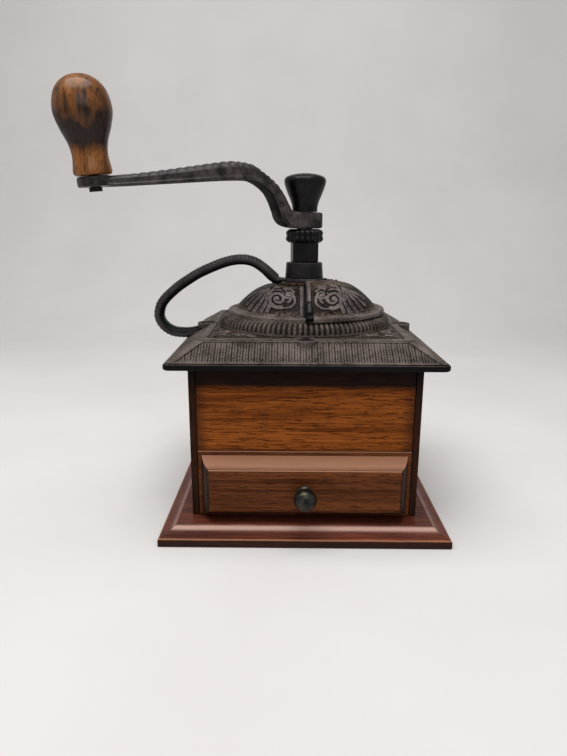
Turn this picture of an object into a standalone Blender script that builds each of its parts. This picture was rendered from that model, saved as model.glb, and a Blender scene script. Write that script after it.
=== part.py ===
"""Box coffee mill with a swivelling hopper lid, a crank and a drawer.

Metres, +Z up. The origin is the centre of the base's underside.
The drawer faces -Y and the carry handle stands on the -X side.
"""
import math

import bmesh
import bpy
from mathutils import Matrix, Vector

# Shared clearances
fit_gap = 0.0003
cut_overrun = 0.002
slide_gap = 0.0005

# Base board
base_width = 0.160
base_edge_height = 0.0047
base_height = 0.0094
base_mould_inset = 0.0092

# Box
box_width = 0.127
box_depth = 0.1205
box_top = 0.0972
panel_thickness = 0.0065
rabbet_width = 0.0030
panel_arris = 0.0004

# Drawer
drawer_side_play = 0.0002
drawer_front_height = 0.0384
drawer_border = 0.0020
drawer_border_proud = 0.0008
drawer_field_inset = 0.0080
drawer_field_proud = 0.0114
drawer_side_thickness = 0.0055
drawer_side_drop = 0.0044
drawer_back_thickness = 0.0055
drawer_back_gap = 0.0024
drawer_floor_thickness = 0.0030
drawer_floor_rise = 0.0028
drawer_groove_depth = 0.0028

# Drawer knob and its screw
knob_ball_radius = 0.0062
knob_foot_radius = 0.0042
knob_neck_radius = 0.0029
knob_foot_length = 0.0014
knob_reach = 0.0142
knob_screw_radius = 0.0015
knob_screw_depth = 0.0080
knob_screw_head_radius = 0.0034
knob_screw_head_height = 0.0018

# Cast roof
eave_side_overhang = 0.01085
eave_front_overhang = 0.0141
eave_lip_height = 0.0030
eave_corner = 0.0030
roof_slope_run = 0.01635
roof_break_height = 0.0132
roof_top_height = 0.0135
roof_top_inset = 0.0006
roof_shell = 0.0030
roof_rib_play = 0.0007
roof_throat_gap = 0.0006
boss_radius = 0.0062
boss_drop = 0.0006
boss_foot_radius = 0.0021
boss_depth = 0.0070

# Wood screws and machine screws
wood_screw_radius = 0.0016
wood_screw_head_radius = 0.0036
wood_screw_head_height = 0.0020
handle_screw_head_height = 0.0016
roof_screw_bite = 0.0120
base_screw_bite = 0.0140
machine_screw_radius = 0.0015
machine_screw_head_radius = 0.0028
machine_screw_head_height = 0.0022

# Dome: a flat crown that meets a rounder shoulder
crown_rise = 0.0041
crown_radius = 0.1390
shoulder_rise = 0.0223
shoulder_meets_rim = 0.0012
crown_blend = 0.0005
lid_wall = 0.0018
lid_clearance = 0.0004
ornament_height = 0.0008
fixed_wall = 0.0030

# Ribbed ring round the hopper mouth
ring_overhang = 0.0005
ring_height = 0.0069
ring_wall = 0.0097
bead_inset = 0.0059
bead_height = 0.0025
hopper_screw_depth = 0.0034

# Hub, collar and the lid's pivot ring
hub_radius = 0.0080
hub_disc_radius = 0.0142
hub_disc_thickness = 0.0040
hub_disc_rise = 0.0143
collar_foot_radius = 0.0116
collar_top_radius = 0.0110
collar_height = 0.0091
pivot_ring_height = 0.0016
handle_eye_height = 0.0019
handle_eye_radius = 0.0126

# Lid rim and finger tab
lid_rim_drop = 0.0021
lid_rim_height = 0.0029
lid_rim_wall = 0.0022
tab_width = 0.0038
tab_drop = 0.0022
tab_height = 0.0096
tab_thickness = 0.0026
tab_rivet_radius = 0.0012

# Shaft
shaft_radius = 0.0050
pivot_reach = 0.0109
pivot_radius = 0.0034
burr_square_half = 0.0036
shoulder_collar_radius = 0.0064
shoulder_collar_height = 0.0017
crank_square_half = 0.0040
stud_radius = 0.0036
stud_length = 0.0118
square_corner_share = 1.22

# Burrs
burr_height = 0.0160
inner_burr_top_radius = 0.0090
inner_burr_waist_radius = 0.0136
inner_burr_foot_radius = 0.0170
inner_burr_teeth = 14
burr_running_gap = 0.0006
outer_burr_radius = 0.0225
outer_burr_teeth = 20
outer_tooth_depth = 0.0009
burr_flange_radius = 0.0345
burr_flange_height = 0.0024
bridge_screw_reach = 0.0295
burr_nut_flats = 0.0120
burr_nut_height = 0.0036

# Hopper bowl and burr housing
bowl_flange_play = 0.00125
bowl_flange_height = 0.0025
bowl_depth = 0.0270
bowl_wall = 0.0030
housing_wall = 0.0037
throat_radius = 0.0195
throat_height = 0.0027
throat_gap = 0.0015
lug_radius = 0.0056
lug_height = 0.0110

# Bridge under the burrs
bridge_width = 0.0120
bridge_thickness = 0.0046
bridge_half_length = 0.0350
bridge_foot_length = 0.0105
bridge_foot_height = 0.0017

# Spring on the shaft
spring_mean_radius = 0.0071
spring_wire = 0.0015
spring_coils = 6
spring_length = 0.0181
washer_radius = 0.0090
washer_thickness = 0.0014
pin_radius = 0.0012
pin_length = 0.0170

# Adjusting nut
nut_barrel_radius = 0.0090
nut_barrel_height = 0.0112
nut_flange_radius = 0.0113
nut_flange_height = 0.0082
nut_beads = 18
nut_rest_angle = math.radians(12.3)
nut_bead_depth_share = 0.07

# Crank
crank_rest_angle = math.radians(28.0)
crank_reach = 0.1213
crank_rise = 0.0264
crank_eye_reach = 0.0096
crank_eye_width = 0.0146
crank_eye_corner = 0.0035
crank_eye_height = 0.0093
crank_width = 0.0140
crank_channel_share = 0.55
crank_rim_share = 0.20
crank_pad_radius = 0.0085
crank_pad_thickness = 0.0050
grip_lean = math.radians(5.5)
grip_length = 0.0463
grip_radius = 0.0142
grip_stud_radius = 0.0024
grip_stud_depth = 0.0340
grip_stud_head_radius = 0.0033
grip_stud_head_height = 0.0020
grip_seat_gap = 0.0005

# Knob that holds the crank on the shaft
top_knob_height = 0.0220
top_knob_radius = 0.0124

# Carry handle
handle_overhang = 0.01605
handle_peak_rise = 0.0108
handle_foot_rise = 0.0040
handle_width = 0.0090
handle_thickness = 0.0062
handle_screw_inset = 0.00485
handle_screw_head_radius = 0.0026
handle_screw_bite = 0.0032

# Facets
round_steps = 36
fine_steps = 56
small_steps = 14
facet_turn = 0.11
weld_distance = 0.000002
dome_points = 7

# Shapes drawn as shares of the sizes that they follow
base_mould_shares = (
    (0.0, 0.0), (0.06, 0.07), (0.38, 0.26), (0.67, 0.53), (0.88, 0.83), (1.0, 1.0),
)
drawer_mould_shares = (
    (0.0, 0.0), (0.06, 0.10), (0.22, 0.42), (0.48, 0.74), (0.74, 0.90),
    (0.80, 0.91), (0.86, 0.98), (1.0, 1.0),
)
ring_shares = (
    (0.0, 0.0), (0.0, 0.20), (0.05, 0.45), (0.19, 0.70), (0.42, 0.88), (0.70, 0.97), (1.0, 1.0),
)
crank_path_shares = (
    (0.066, 0.0), (0.107, 0.076), (0.129, 0.248), (0.152, 0.452), (0.184, 0.659),
    (0.222, 0.801), (0.260, 0.903), (0.305, 0.984), (0.385, 0.996), (0.470, 0.958),
    (0.585, 0.890), (0.750, 0.794), (0.897, 0.718), (1.0, 0.680),
)
crank_thickness_shares = (
    0.95, 1.02, 0.88, 0.79, 0.72, 0.72, 0.76, 0.95, 1.07, 1.01, 0.88, 0.70, 0.58, 0.52,
)
grip_shares = (
    (0.0, 0.61), (0.06, 0.675), (0.20, 0.617), (0.33, 0.68), (0.48, 0.87),
    (0.64, 1.0), (0.80, 0.925), (0.92, 0.70), (0.985, 0.36),
)
top_knob_shares = (
    (0.0, 0.60), (0.15, 0.62), (0.30, 0.70), (0.43, 0.80), (0.57, 0.90),
    (0.70, 0.98), (0.80, 1.0), (0.88, 0.94), (0.96, 0.68),
)
handle_path_shares = (
    (0.271, 0.883), (0.326, 0.958), (0.382, 0.996), (0.456, 1.0), (0.538, 0.965),
    (0.619, 0.905), (0.717, 0.817), (0.796, 0.722), (0.857, 0.641), (0.907, 0.559),
    (0.950, 0.478), (0.983, 0.388), (1.0, 0.269), (0.992, 0.172), (0.959, 0.082),
    (0.905, 0.020), (0.835, 0.002), (0.765, 0.004), (0.690, 0.015),
)
bowl_shares = (
    (1.0, 1.0), (0.993, 0.71), (0.943, 0.45), (0.828, 0.21), (0.644, 0.06),
)

# Heights and places that follow from the sizes above
box_bottom = base_height + fit_gap
roof_bottom = box_top + fit_gap
roof_top = roof_bottom + roof_top_height
boss_top = roof_top - boss_drop
well_top = roof_top - roof_shell
ring_bottom = roof_top + fit_gap
ring_top = ring_bottom + ring_height
bead_top = ring_top + bead_height
panel_middle = panel_thickness / 2
front_face = -box_depth / 2
panel_back_face = front_face + panel_thickness
side_inner_face = box_width / 2 - panel_thickness
panel_reach = side_inner_face + rabbet_width - fit_gap
well_half_x = side_inner_face - fit_gap
well_half_y = box_depth / 2 - panel_thickness - fit_gap
eave_half_x = box_width / 2 + eave_side_overhang
eave_half_y = box_depth / 2 + eave_front_overhang

drawer_front_bottom = box_bottom + fit_gap
drawer_front_top = drawer_front_bottom + drawer_front_height
front_panel_bottom = drawer_front_top + slide_gap
drawer_front_half = panel_reach - drawer_side_play
drawer_side_top = drawer_front_top - drawer_side_drop
drawer_floor_bottom = box_bottom + drawer_floor_rise

bowl_flange_radius = min(well_half_x, well_half_y) - bowl_flange_play
hopper_screw_circle = bowl_flange_radius - machine_screw_head_radius
ring_foot_radius = bowl_flange_radius + ring_overhang
bead_radius = ring_foot_radius - bead_inset
mouth_radius = ring_foot_radius - ring_wall
roof_throat_radius = mouth_radius + roof_throat_gap

hub_disc_top = bead_top + hub_disc_rise
hub_disc_bottom = hub_disc_top - hub_disc_thickness
lid_ring_bottom = hub_disc_top + fit_gap
lid_ring_top = lid_ring_bottom + pivot_ring_height
eye_bottom = lid_ring_top + fit_gap
eye_top = eye_bottom + handle_eye_height
collar_bottom = eye_top + fit_gap
collar_top = collar_bottom + collar_height
nut_bottom = collar_top + fit_gap
nut_top = nut_bottom + nut_barrel_height + nut_flange_height
crank_eye_bottom = nut_top + fit_gap
crank_eye_top = crank_eye_bottom + crank_eye_height
crank_eye_middle = crank_eye_bottom + crank_eye_height / 2

lid_rim_bottom = bead_top - lid_rim_drop
lid_rim_top = lid_rim_bottom + lid_rim_height
tab_bottom = lid_rim_top - tab_drop
tab_top = tab_bottom + tab_height
crown_centre_height = hub_disc_top + crown_rise - crown_radius
shoulder_radius = ((bead_radius - shoulder_meets_rim) ** 2 + shoulder_rise ** 2) / (2 * shoulder_rise)
shoulder_centre_height = lid_rim_top + shoulder_rise - shoulder_radius
fixed_inset = lid_wall + lid_clearance + ornament_height

throat_top = well_top - fit_gap - bowl_depth
throat_bottom = throat_top - throat_height
burr_top = throat_bottom - throat_gap
burr_bottom = burr_top - burr_height
housing_bottom = burr_bottom - fit_gap / 2
shaft_bottom = burr_bottom - pivot_reach
spring_bottom = hub_disc_bottom - spring_length

handle_reach = eave_half_x + handle_overhang
handle_top = eye_top + handle_peak_rise
handle_foot = roof_bottom + eave_lip_height + handle_foot_rise


def clear_scene():
    """Remove every object that the file starts with."""
    for item in list(bpy.data.objects):
        bpy.data.objects.remove(item, do_unlink=True)


def finish(name, colour, roughness, metallic):
    """Make a plain Principled material."""
    made = bpy.data.materials.new(name)
    made.use_nodes = True
    shader = made.node_tree.nodes["Principled BSDF"]
    shader.inputs["Base Color"].default_value = (*colour, 1.0)
    shader.inputs["Roughness"].default_value = roughness
    shader.inputs["Metallic"].default_value = metallic
    return made


def piece(name, shape, material, smooth_angle=None):
    """Turn a bmesh into a named object whose faces point outwards."""
    bmesh.ops.recalc_face_normals(shape, faces=shape.faces)
    mesh = bpy.data.meshes.new(name)
    shape.to_mesh(mesh)
    shape.free()
    if smooth_angle is not None:
        mesh.shade_smooth()
        mesh.set_sharp_from_angle(angle=smooth_angle)
    made = bpy.data.objects.new(name, mesh)
    bpy.context.collection.objects.link(made)
    mesh.materials.append(material)
    return made


def boolean(target, tool, operation):
    """Cut or join one object with another, and remove the tool."""
    step = target.modifiers.new(operation.lower(), "BOOLEAN")
    step.object = tool
    step.operation = operation
    step.solver = "EXACT"
    graph = bpy.context.evaluated_depsgraph_get()
    result = bpy.data.meshes.new_from_object(target.evaluated_get(graph))
    target.modifiers.clear()
    old = target.data
    target.data = result
    result.name = target.name
    bpy.data.meshes.remove(old)
    bpy.data.objects.remove(tool, do_unlink=True)
    shape = bmesh.new()
    shape.from_mesh(result)
    bmesh.ops.remove_doubles(shape, verts=shape.verts, dist=weld_distance)
    bmesh.ops.dissolve_degenerate(shape, edges=shape.edges, dist=weld_distance)
    shape.to_mesh(result)
    shape.free()
    return target


def cut(target, *tools):
    """Cut several tools out of a target."""
    for tool in tools:
        boolean(target, tool, "DIFFERENCE")
    return target


def join(target, *tools):
    """Join several solids to a target."""
    for tool in tools:
        boolean(target, tool, "UNION")
    return target


def rings_to_shape(rings, closed):
    """Skin rings of equal length. Closed rings wrap round, open ones are capped."""
    shape = bmesh.new()
    rows = [[shape.verts.new(point) for point in ring] for ring in rings]
    count = len(rows[0])
    pairs = list(zip(rows, rows[1:]))
    if closed:
        pairs.append((rows[-1], rows[0]))
    for low, high in pairs:
        for index in range(count):
            after = (index + 1) % count
            shape.faces.new((low[index], low[after], high[after], high[index]))
    if not closed:
        shape.faces.new(rows[0])
        shape.faces.new(rows[-1])
    return shape


def revolve(name, outline, material, start=0.0, sweep=math.tau, steps=round_steps, smooth=0.6):
    """Turn an outline of radius and height round Z. A part sweep gets flat ends."""
    full = abs(sweep - math.tau) < 1e-6
    shape = bmesh.new()
    turns = steps if full else steps + 1
    columns = []
    poles = {}
    for turn in range(turns):
        angle = start + sweep * turn / steps
        column = []
        for index, (radius, height) in enumerate(outline):
            if radius == 0.0:
                if index not in poles:
                    poles[index] = shape.verts.new((0.0, 0.0, height))
                column.append(poles[index])
            else:
                place = (radius * math.cos(angle), radius * math.sin(angle), height)
                column.append(shape.verts.new(place))
        columns.append(column)
    open_outline = outline[0][0] == 0.0 and outline[-1][0] == 0.0
    spans = len(outline) - 1 if open_outline else len(outline)
    last = turns if full else turns - 1
    for turn in range(last):
        here = columns[turn]
        there = columns[(turn + 1) % turns]
        for index in range(spans):
            after = (index + 1) % len(outline)
            corners = [here[index], there[index], there[after], here[after]]
            unique = list(dict.fromkeys(corners))
            if len(unique) > 2:
                shape.faces.new(unique)
    if not full:
        shape.faces.new(columns[0])
        shape.faces.new(columns[-1])
    return piece(name, shape, material, smooth)


def cylinder(name, radius, low, high, material, centre=(0.0, 0.0), steps=small_steps, top_radius=None):
    """A plain or tapered vertical cylinder."""
    upper = radius if top_radius is None else top_radius
    outline = [(0.0, low), (radius, low), (upper, high), (0.0, high)]
    made = revolve(name, outline, material, start=facet_turn, steps=steps)
    made.data.transform(Matrix.Translation((centre[0], centre[1], 0.0)))
    return made


def countersunk_hole(radius, mouth_radius, depth, low, top, centre):
    """A cutter for a hole that opens into a cone at its top."""
    outline = [(0.0, low), (radius, low), (radius, top - depth), (mouth_radius, top),
               (mouth_radius, top + cut_overrun), (0.0, top + cut_overrun)]
    made = revolve("countersunk_hole", outline, steel, start=facet_turn, steps=small_steps)
    made.data.transform(Matrix.Translation((centre[0], centre[1], 0.0)))
    return made


def block(name, low, high, material, arris=0.0):
    """A box between two corners, with its edges taken off where an arris is given."""
    shape = bmesh.new()
    bmesh.ops.create_cube(shape, size=1.0)
    for vert in shape.verts:
        for axis in range(3):
            vert.co[axis] = high[axis] if vert.co[axis] > 0.0 else low[axis]
    if arris > 0.0:
        bmesh.ops.bevel(shape, geom=list(shape.edges), offset=arris, segments=1, affect="EDGES")
    return piece(name, shape, material)


def prism(name, outline, low, high, material, axis="Z"):
    """Extrude an outline along X, Y or Z."""
    order = {"Z": lambda a, b, h: (a, b, h), "Y": lambda a, b, h: (a, h, b), "X": lambda a, b, h: (h, a, b)}[axis]
    rings = [[order(a, b, height) for a, b in outline] for height in (low, high)]
    return piece(name, rings_to_shape(rings, False), material)


def corner_loop(half_x, half_y, height, corner, arc_steps=3):
    """A rectangle with rounded corners, as points at one height."""
    points = []
    for quarter in range(4):
        centre_x = (half_x - corner) * (1 if quarter in (0, 3) else -1)
        centre_y = (half_y - corner) * (1 if quarter in (0, 1) else -1)
        for step in range(arc_steps + 1):
            angle = math.pi / 2 * (quarter + step / arc_steps)
            points.append((centre_x + corner * math.cos(angle), centre_y + corner * math.sin(angle), height))
    return points


def square_loop(half, height, count):
    """A square as points at equal angles, so that it pairs with a circle."""
    points = []
    limit = half * square_corner_share
    for index in range(count):
        angle = math.tau * index / count
        reach = min(half / max(abs(math.cos(angle)), abs(math.sin(angle))), limit)
        points.append((reach * math.cos(angle), reach * math.sin(angle), height))
    return points


def circle_loop(radius, height, count):
    """A circle as points at equal angles."""
    return [(radius * math.cos(math.tau * i / count), radius * math.sin(math.tau * i / count), height)
            for i in range(count)]


def smooth_curve(points, per_span):
    """A Catmull-Rom curve through points of any number of values."""
    padded = [points[0], *points, points[-1]]
    curve = []
    for index in range(1, len(padded) - 2):
        before, here, there, beyond = padded[index - 1:index + 3]
        for step in range(per_span):
            t = step / per_span
            curve.append(tuple(
                0.5 * (2 * b + (c - a) * t + (2 * a - 5 * b + 4 * c - d) * t * t
                       + (3 * b - a - 3 * c + d) * t ** 3)
                for a, b, c, d in zip(before, here, there, beyond)))
    curve.append(tuple(points[-1]))
    return curve


def dome_height(radius, inset):
    """Height of the dome at a radius, on a skin that lies inset below the lid's outside."""
    crown = crown_centre_height + math.sqrt((crown_radius - inset) ** 2 - radius ** 2)
    shoulder = shoulder_centre_height + math.sqrt(max((shoulder_radius - inset) ** 2 - radius ** 2, 0.0))
    low, high = min(crown, shoulder), max(crown, shoulder)
    return low - crown_blend * math.log1p(math.exp((low - high) / crown_blend))


def dome_arc(start_radius, end_radius, inset, count):
    """Outline points along the dome between two radii."""
    return [(start_radius + (end_radius - start_radius) * i / (count - 1),
             dome_height(start_radius + (end_radius - start_radius) * i / (count - 1), inset))
            for i in range(count)]


def screw(name, shank_radius, length, head_radius, head_height, material, countersunk=True):
    """A screw that points down, with the top of its head at its origin."""
    neck = shank_radius if countersunk else head_radius
    outline = [(0.0, -length), (shank_radius, -length), (shank_radius, -head_height),
               (neck, -head_height), (head_radius, 0.0), (0.0, 0.0)]
    if countersunk:
        outline.pop(3)
    return revolve(name, outline, material, steps=small_steps)


def place(item, x, y, z, turn_x=0.0, turn_z=0.0):
    """Set an object down at a point, turned about X or Z."""
    item.location = (x, y, z)
    item.rotation_euler = (turn_x, 0.0, turn_z)
    return item


clear_scene()

oak = finish("box_wood", (0.33, 0.14, 0.05), 0.5, 0.0)
mahogany = finish("base_wood", (0.22, 0.08, 0.05), 0.4, 0.0)
drawer_wood = finish("drawer_wood", (0.30, 0.12, 0.05), 0.4, 0.0)
inner_wood = finish("plain_wood", (0.45, 0.28, 0.14), 0.6, 0.0)
grip_wood = finish("grip_wood", (0.35, 0.15, 0.04), 0.25, 0.0)
iron = finish("cast_iron", (0.05, 0.045, 0.04), 0.6, 0.7)
dark_iron = finish("black_iron", (0.02, 0.02, 0.02), 0.35, 0.7)
steel = finish("plain_steel", (0.45, 0.45, 0.45), 0.4, 1.0)
brass = finish("old_brass", (0.25, 0.20, 0.13), 0.4, 1.0)


def base_screw_places():
    """Two screws under each side panel."""
    reach_x = box_width / 2 - panel_middle
    reach_y = box_depth / 4
    return [(sx * reach_x, sy * reach_y) for sx in (-1, 1) for sy in (-1, 1)]


def roof_screw_places():
    """One screw over the middle of each of the four walls."""
    reach_x = box_width / 2 - panel_middle
    reach_y = box_depth / 2 - panel_middle
    return {"front": (0.0, -reach_y), "right": (reach_x, 0.0), "back": (0.0, reach_y), "left": (-reach_x, 0.0)}


def build_base():
    """The base board with its moulded edge and four countersunk screws from below."""
    half = base_width / 2
    loops = [corner_loop(half, half, 0.0, panel_arris, 1)]
    for inset_share, rise_share in base_mould_shares:
        reach = half - base_mould_inset * inset_share
        height = base_edge_height + (base_height - base_edge_height) * rise_share
        loops.append(corner_loop(reach, reach, height, panel_arris, 1))
    board = piece("base_board", rings_to_shape(loops, False), mahogany)
    for index, (x, y) in enumerate(base_screw_places()):
        hole = countersunk_hole(wood_screw_radius + fit_gap, wood_screw_head_radius + fit_gap * 2,
                                wood_screw_head_height + fit_gap, -base_height - cut_overrun, 0.0, (x, -y))
        hole.data.transform(Matrix.Rotation(math.pi, 4, "X"))
        cut(board, hole)
        made = screw(f"base_screw_{index + 1}", wood_screw_radius, base_height + base_screw_bite,
                     wood_screw_head_radius, wood_screw_head_height, steel)
        place(made, x, y, fit_gap, turn_x=math.pi)
    return board


def wood_pilot(x, y, from_height, to_height):
    """A cutter for the hole that a wood screw bites into."""
    return cylinder("pilot", wood_screw_radius + fit_gap, from_height, to_height, steel, (x, y))


def build_box():
    """Side panels with rabbets that take the front and back panels."""
    outer = box_width / 2
    shelf = box_depth / 2 - panel_thickness - fit_gap
    for name, side in (("right_side_panel", 1), ("left_side_panel", -1)):
        outline = [
            (outer, -box_depth / 2), (outer, box_depth / 2),
            (outer - panel_thickness + rabbet_width, box_depth / 2),
            (outer - panel_thickness + rabbet_width, shelf),
            (side_inner_face, shelf), (side_inner_face, -shelf),
            (outer - panel_thickness + rabbet_width, -shelf),
            (outer - panel_thickness + rabbet_width, -box_depth / 2),
        ]
        panel = prism(name, [(side * x, y) for x, y in outline], box_bottom, box_top, oak)
        x, y = roof_screw_places()["right" if side > 0 else "left"]
        cut(panel, wood_pilot(x, y, box_top - roof_screw_bite - fit_gap, box_top + cut_overrun))
        for x, y in base_screw_places():
            if x * side > 0:
                cut(panel, wood_pilot(x, y, box_bottom - cut_overrun, box_bottom + base_screw_bite))
    for name, place_name, low_y, low_z in (
            ("front_panel", "front", front_face, front_panel_bottom),
            ("back_panel", "back", box_depth / 2 - panel_thickness, box_bottom)):
        panel = block(name, (-panel_reach, low_y, low_z), (panel_reach, low_y + panel_thickness, box_top), oak,
                      panel_arris)
        x, y = roof_screw_places()[place_name]
        cut(panel, wood_pilot(x, y, box_top - roof_screw_bite - fit_gap, box_top + cut_overrun))


def drawer_front_loops():
    """Loops from the flat back of the drawer front out to its raised field."""
    middle = (drawer_front_bottom + drawer_front_top) / 2
    half_x = drawer_front_half
    half_z = (drawer_front_top - drawer_front_bottom) / 2

    def loop(inset, y):
        return [(sx * (half_x - inset), y, middle + sz * (half_z - inset))
                for sx, sz in ((-1, -1), (1, -1), (1, 1), (-1, 1))]

    border_y = front_face - drawer_border_proud
    loops = [loop(0.0, panel_back_face), loop(0.0, border_y + panel_arris), loop(panel_arris, border_y)]
    for inset_share, depth_share in drawer_mould_shares:
        inset = drawer_border + (drawer_field_inset - drawer_border) * inset_share
        proud = drawer_border_proud + (drawer_field_proud - drawer_border_proud) * depth_share
        loops.append(loop(inset, front_face - proud))
    return loops


def build_drawer():
    """The drawer: moulded front, grooved sides, back, floor and turned knob."""
    middle = (drawer_front_bottom + drawer_front_top) / 2
    front = piece("drawer_front", rings_to_shape(drawer_front_loops(), False), drawer_wood)
    field_y = front_face - drawer_field_proud
    hole_radius = knob_screw_radius + fit_gap
    hole = cylinder("hole", hole_radius, -panel_back_face - cut_overrun, -field_y + cut_overrun, steel)
    hole.data.transform(Matrix.Translation((0.0, 0.0, middle)) @ Matrix.Rotation(math.pi / 2, 4, "X"))
    cut(front, hole)

    low_z = box_bottom
    start_y = panel_back_face + fit_gap
    end_y = box_depth / 2 - panel_thickness - drawer_back_gap
    outer = side_inner_face - slide_gap
    inner = outer - drawer_side_thickness
    groove = inner + drawer_groove_depth
    groove_low = drawer_floor_bottom - fit_gap
    groove_high = drawer_floor_bottom + drawer_floor_thickness + fit_gap
    for name, side in (("drawer_right_side", 1), ("drawer_left_side", -1)):
        outline = [(outer, low_z), (outer, drawer_side_top), (inner, drawer_side_top), (inner, groove_high),
                   (groove, groove_high), (groove, groove_low), (inner, groove_low), (inner, low_z)]
        prism(name, [(side * x, z) for x, z in outline], start_y, end_y, inner_wood, axis="Y")
    back_low = groove_high
    block("drawer_back", (-inner + fit_gap, end_y - drawer_back_thickness, back_low),
          (inner - fit_gap, end_y, drawer_side_top), inner_wood)
    block("drawer_floor", (-groove + fit_gap, start_y, drawer_floor_bottom),
          (groove - fit_gap, end_y, drawer_floor_bottom + drawer_floor_thickness), inner_wood)

    ball_centre = knob_reach - knob_ball_radius
    outline = [(0.0, knob_screw_depth), (hole_radius, knob_screw_depth), (hole_radius, fit_gap),
               (knob_foot_radius, fit_gap), (knob_foot_radius, knob_foot_length),
               (knob_neck_radius, knob_foot_length * 1.6)]
    neck_angle = math.acos(knob_neck_radius / knob_ball_radius)
    for step in range(9):
        angle = -neck_angle + (neck_angle + math.pi / 2) * step / 9
        outline.append((knob_ball_radius * math.cos(angle), ball_centre + knob_ball_radius * math.sin(angle)))
    outline.append((0.0, knob_reach))
    knob = revolve("drawer_knob", outline, brass, steps=small_steps + 8)
    knob.location = (0.0, field_y, middle)
    knob.rotation_euler = (math.pi / 2, 0.0, 0.0)

    length = -field_y + panel_back_face + knob_screw_depth - fit_gap + knob_screw_head_height
    made = screw("drawer_knob_screw", knob_screw_radius, length, knob_screw_head_radius,
                 knob_screw_head_height, steel, countersunk=False)
    made.location = (0.0, panel_back_face + fit_gap + knob_screw_head_height, middle)
    made.rotation_euler = (-math.pi / 2, 0.0, 0.0)


def roof_loop(inset, height, corner):
    """The roof's outline at one height, drawn in from the eaves."""
    return corner_loop(eave_half_x - inset, eave_half_y - inset, height, corner)


def roof_boss(place_name):
    """The cup round a roof screw: a cone that narrows downwards and stands out of the slope."""
    x, y = roof_screw_places()[place_name]
    count = small_steps
    shift = boss_radius - boss_foot_radius
    low = [(px + shift, py, z) for px, py, z in circle_loop(boss_foot_radius, boss_top - boss_depth, count)]
    shape = rings_to_shape([low, circle_loop(boss_radius, boss_top, count)], False)
    boss = piece("boss", shape, iron)
    turn = Matrix.Rotation(math.atan2(y, x), 4, "Z")
    boss.data.transform(Matrix.Translation((x, y, 0.0)) @ turn)
    return boss


def build_roof():
    """The cast roof: lip, slope, flat top, seat rib, screw bosses and throat."""
    top_inset = roof_slope_run + roof_top_inset
    loops = [roof_loop(inset, roof_bottom + height, corner) for inset, height, corner in (
        (0.0, 0.0, eave_corner), (0.0, eave_lip_height, eave_corner),
        (roof_slope_run, roof_break_height, eave_corner / 2), (top_inset, roof_top_height, eave_corner / 2))]
    roof = piece("roof_casting", rings_to_shape(loops, False), iron)
    for place_name in roof_screw_places():
        join(roof, roof_boss(place_name))

    slope_rise = roof_break_height - eave_lip_height
    slope_length = math.hypot(roof_slope_run, slope_rise)
    shell_offset = roof_shell * slope_length / roof_slope_run
    rib_inset = eave_side_overhang - roof_rib_play
    outer_height = roof_bottom + eave_lip_height - shell_offset + roof_shell * slope_rise / roof_slope_run
    rib_height = outer_height + (rib_inset - roof_shell) * slope_rise / roof_slope_run
    hollow_low = roof_bottom - cut_overrun
    hollow = [roof_loop(inset, height, eave_corner / 2)
              for inset, height in ((roof_shell, hollow_low), (roof_shell, outer_height), (rib_inset, rib_height),
                                    (rib_inset, hollow_low))]
    cut(roof, piece("hollow", rings_to_shape(hollow, True), iron))

    well = [corner_loop(well_half_x, well_half_y, height, eave_corner) for height in (hollow_low, well_top)]
    cut(roof, piece("well", rings_to_shape(well, False), iron))
    cut(roof, cylinder("throat", roof_throat_radius, well_top - cut_overrun, roof_top + cut_overrun * 2, iron,
                       steps=round_steps))

    for x, y in roof_screw_places().values():
        cut(roof, countersunk_hole(wood_screw_radius + fit_gap, wood_screw_head_radius + fit_gap * 2,
                                   wood_screw_head_height + fit_gap, hollow_low, boss_top, (x, y)))
    handle_hole = cylinder("hole", machine_screw_radius + fit_gap, -roof_shell * 2, roof_shell, iron)
    handle_hole.data.transform(slope_place())
    cut(roof, handle_hole)
    for x, y in hopper_screw_places():
        cut(roof, cylinder("hole", machine_screw_radius + fit_gap, well_top - cut_overrun,
                           roof_top + cut_overrun, iron, (x, y)))
    return roof


def hopper_screw_places():
    """Three screws that hold the hopper, roof and ring together."""
    angles = (math.pi / 2, math.pi * 7 / 6, math.pi * 11 / 6)
    return [(hopper_screw_circle * math.cos(a), hopper_screw_circle * math.sin(a)) for a in angles]


def slope_direction():
    """Unit vector across the left slope, pointing out of the roof."""
    rise = roof_break_height - eave_lip_height
    return Vector((-rise, 0.0, roof_slope_run)).normalized()


def slope_place():
    """Where the handle's screw crosses the left slope, with its Z axis across the slope."""
    share = handle_screw_inset / roof_slope_run
    height = roof_bottom + eave_lip_height + (roof_break_height - eave_lip_height) * share
    turn = slope_direction().to_track_quat("Z", "Y").to_matrix().to_4x4()
    return Matrix.Translation((handle_screw_inset - eave_half_x, 0.0, height)) @ turn


def build_roof_screws():
    """Wood screws through the roof into the walls, and the screw that holds the handle's foot."""
    for name, (x, y) in roof_screw_places().items():
        made = screw(f"roof_screw_{name}", wood_screw_radius, boss_top - box_top + roof_screw_bite,
                     wood_screw_head_radius, wood_screw_head_height, steel)
        place(made, x, y, boss_top)
    length = handle_screw_head_height + roof_shell + fit_gap + handle_screw_bite
    made = screw("handle_screw", machine_screw_radius, length, handle_screw_head_radius,
                 handle_screw_head_height, steel, countersunk=False)
    flip = Matrix.Translation((0.0, 0.0, -roof_shell - fit_gap - handle_screw_head_height))
    made.data.transform(slope_place() @ flip @ Matrix.Rotation(math.pi, 4, "X"))


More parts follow.
